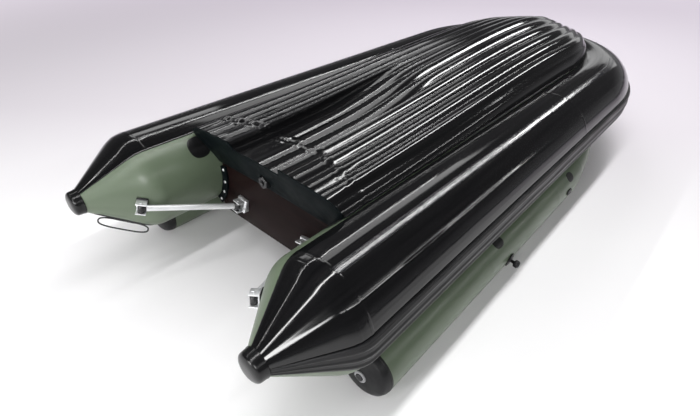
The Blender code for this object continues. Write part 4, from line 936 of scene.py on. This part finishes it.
# Beyond the lights' reach the paper keeps its colour for the camera, as a lit backdrop would
reach = tree.nodes.new("ShaderNodeVectorMath")
reach.operation = "LENGTH"
fade = tree.nodes.new("ShaderNodeMapRange")
fade.interpolation_type = "SMOOTHSTEP"
fade.inputs["From Min"].default_value = PAPER_FADE[0]
fade.inputs["From Max"].default_value = PAPER_FADE[1]
rays = tree.nodes.new("ShaderNodeLightPath")
share = tree.nodes.new("ShaderNodeMath")
share.operation = "MULTIPLY"
glow = tree.nodes.new("ShaderNodeEmission")
glow.inputs["Strength"].default_value = 1.05
both = tree.nodes.new("ShaderNodeMixShader")
link(tree, coord.outputs["Object"], reach.inputs[0])
link(tree, reach.outputs["Value"], fade.inputs["Value"])
link(tree, fade.outputs["Result"], share.inputs[0])
link(tree, rays.outputs["Is Camera Ray"], share.inputs[1])
link(tree, paper_white_and_painted_falloff.outputs["Color"], glow.inputs["Color"])
link(tree, share.outputs["Value"], both.inputs["Fac"])
link(tree, shader.outputs["BSDF"], both.inputs[1])
link(tree, glow.outputs["Emission"], both.inputs[2])
link(tree, both.outputs["Shader"], tree.nodes["Material Output"].inputs["Surface"])
floor.data.materials.append(mat)

# Name, place, aim, width and length in metres, watts and shape
LIGHTS = (
    ("overhead_box", (-2.9, 4.2, 5.5), (-2.9, 4.2, 0), (1.8, 6.2), 80, "RECTANGLE"),
    ("middle_strip", (0.45, 0.5, 5.5), (0.45, 0.5, 0), (0.32, 22.0), 560, "RECTANGLE"),
    ("far_strip", (-5.6, 0.0, 7.0), (-5.6, 0.0, 0), (0.22, 18.0), 270, "RECTANGLE"),
    ("near_strip", (8.0, 4.0, 5.5), (8.0, 4.0, 0.0), (0.30, 20.0), 400, "RECTANGLE"),
    ("stern_box", (3.0, -5.4, 2.6), (-0.5, -1.9, 0.4), (1.7, 0.9), 85, "ELLIPSE"),
    ("stern_glow", (-0.2, -6.0, 1.2), (-0.7, -2.0, 0.4), (1.3, 0.8), 65, "ELLIPSE"),
    ("bow_box", (-2.2, 10.5, 2.3), (0.0, 2.0, 0.7), (6.0, 1.2), 18, "RECTANGLE"),
    ("corner_box", (-9.0, 2.5, 6.0), (-7.5, 2.0, 0.0), (3.0, 3.0), 60, "RECTANGLE"),
)
for name, place_at, aim, size, power, shape in LIGHTS:
    data = bpy.data.lights.new(name, "AREA")
    data.shape = shape
    data.size, data.size_y = size
    data.energy = power
    obj = bpy.data.objects.new(name, data)
    bpy.context.scene.collection.objects.link(obj)
    obj.location = place_at
    obj.rotation_euler = (Vector(aim) - Vector(place_at)).to_track_quat("-Z", "Y").to_euler()
    obj.visible_camera = False

world = bpy.data.worlds.new("studio_world")
bpy.context.scene.world = world
world.use_nodes = True
tree = world.node_tree
back = tree.nodes["Background"]
coord = tree.nodes.new("ShaderNodeTexCoord")
split = tree.nodes.new("ShaderNodeSeparateXYZ")
ramp = tree.nodes.new("ShaderNodeMapRange")
ramp.inputs["From Min"].default_value = 0.02
ramp.inputs["From Max"].default_value = 0.22
ramp.inputs["To Min"].default_value = 0.26
ramp.inputs["To Max"].default_value = 0.08
link(tree, coord.outputs["Generated"], split.inputs["Vector"])
link(tree, split.outputs["Z"], ramp.inputs["Value"])
rays = tree.nodes.new("ShaderNodeLightPath")
seen = tree.nodes.new("ShaderNodeMix")
seen.inputs["B"].default_value = 0.80
link(tree, rays.outputs["Is Camera Ray"], seen.inputs["Factor"])
link(tree, ramp.outputs["Result"], seen.inputs["A"])
link(tree, seen.outputs["Result"], back.inputs["Strength"])
back.inputs["Color"].default_value = (0.97, 0.96, 1.0, 1)

yaw, pitch, roll = (math.radians(v) for v in (VIEW_YAW, VIEW_PITCH, VIEW_ROLL))
look = Vector((-math.sin(yaw) * math.cos(pitch), math.cos(yaw) * math.cos(pitch), -math.sin(pitch)))
level = Vector((math.cos(yaw), math.sin(yaw), 0))
upright = level.cross(look)
right = level * math.cos(roll) + upright * math.sin(roll)
up = upright * math.cos(roll) - level * math.sin(roll)
lens = bpy.data.cameras.new("photo_camera")
lens.sensor_width = 36.0
lens.lens = VIEW_LENS
lens.clip_end = 200.0
camera = bpy.data.objects.new("photo_camera", lens)
bpy.context.scene.collection.objects.link(camera)
camera.matrix_world = Matrix(((right.x, up.x, -look.x, VIEW_FROM[0]), (right.y, up.y, -look.y, VIEW_FROM[1]),
                              (right.z, up.z, -look.z, VIEW_FROM[2]), (0, 0, 0, 1)))
bpy.context.scene.camera = camera
bpy.context.scene.view_settings.view_transform = "Standard"
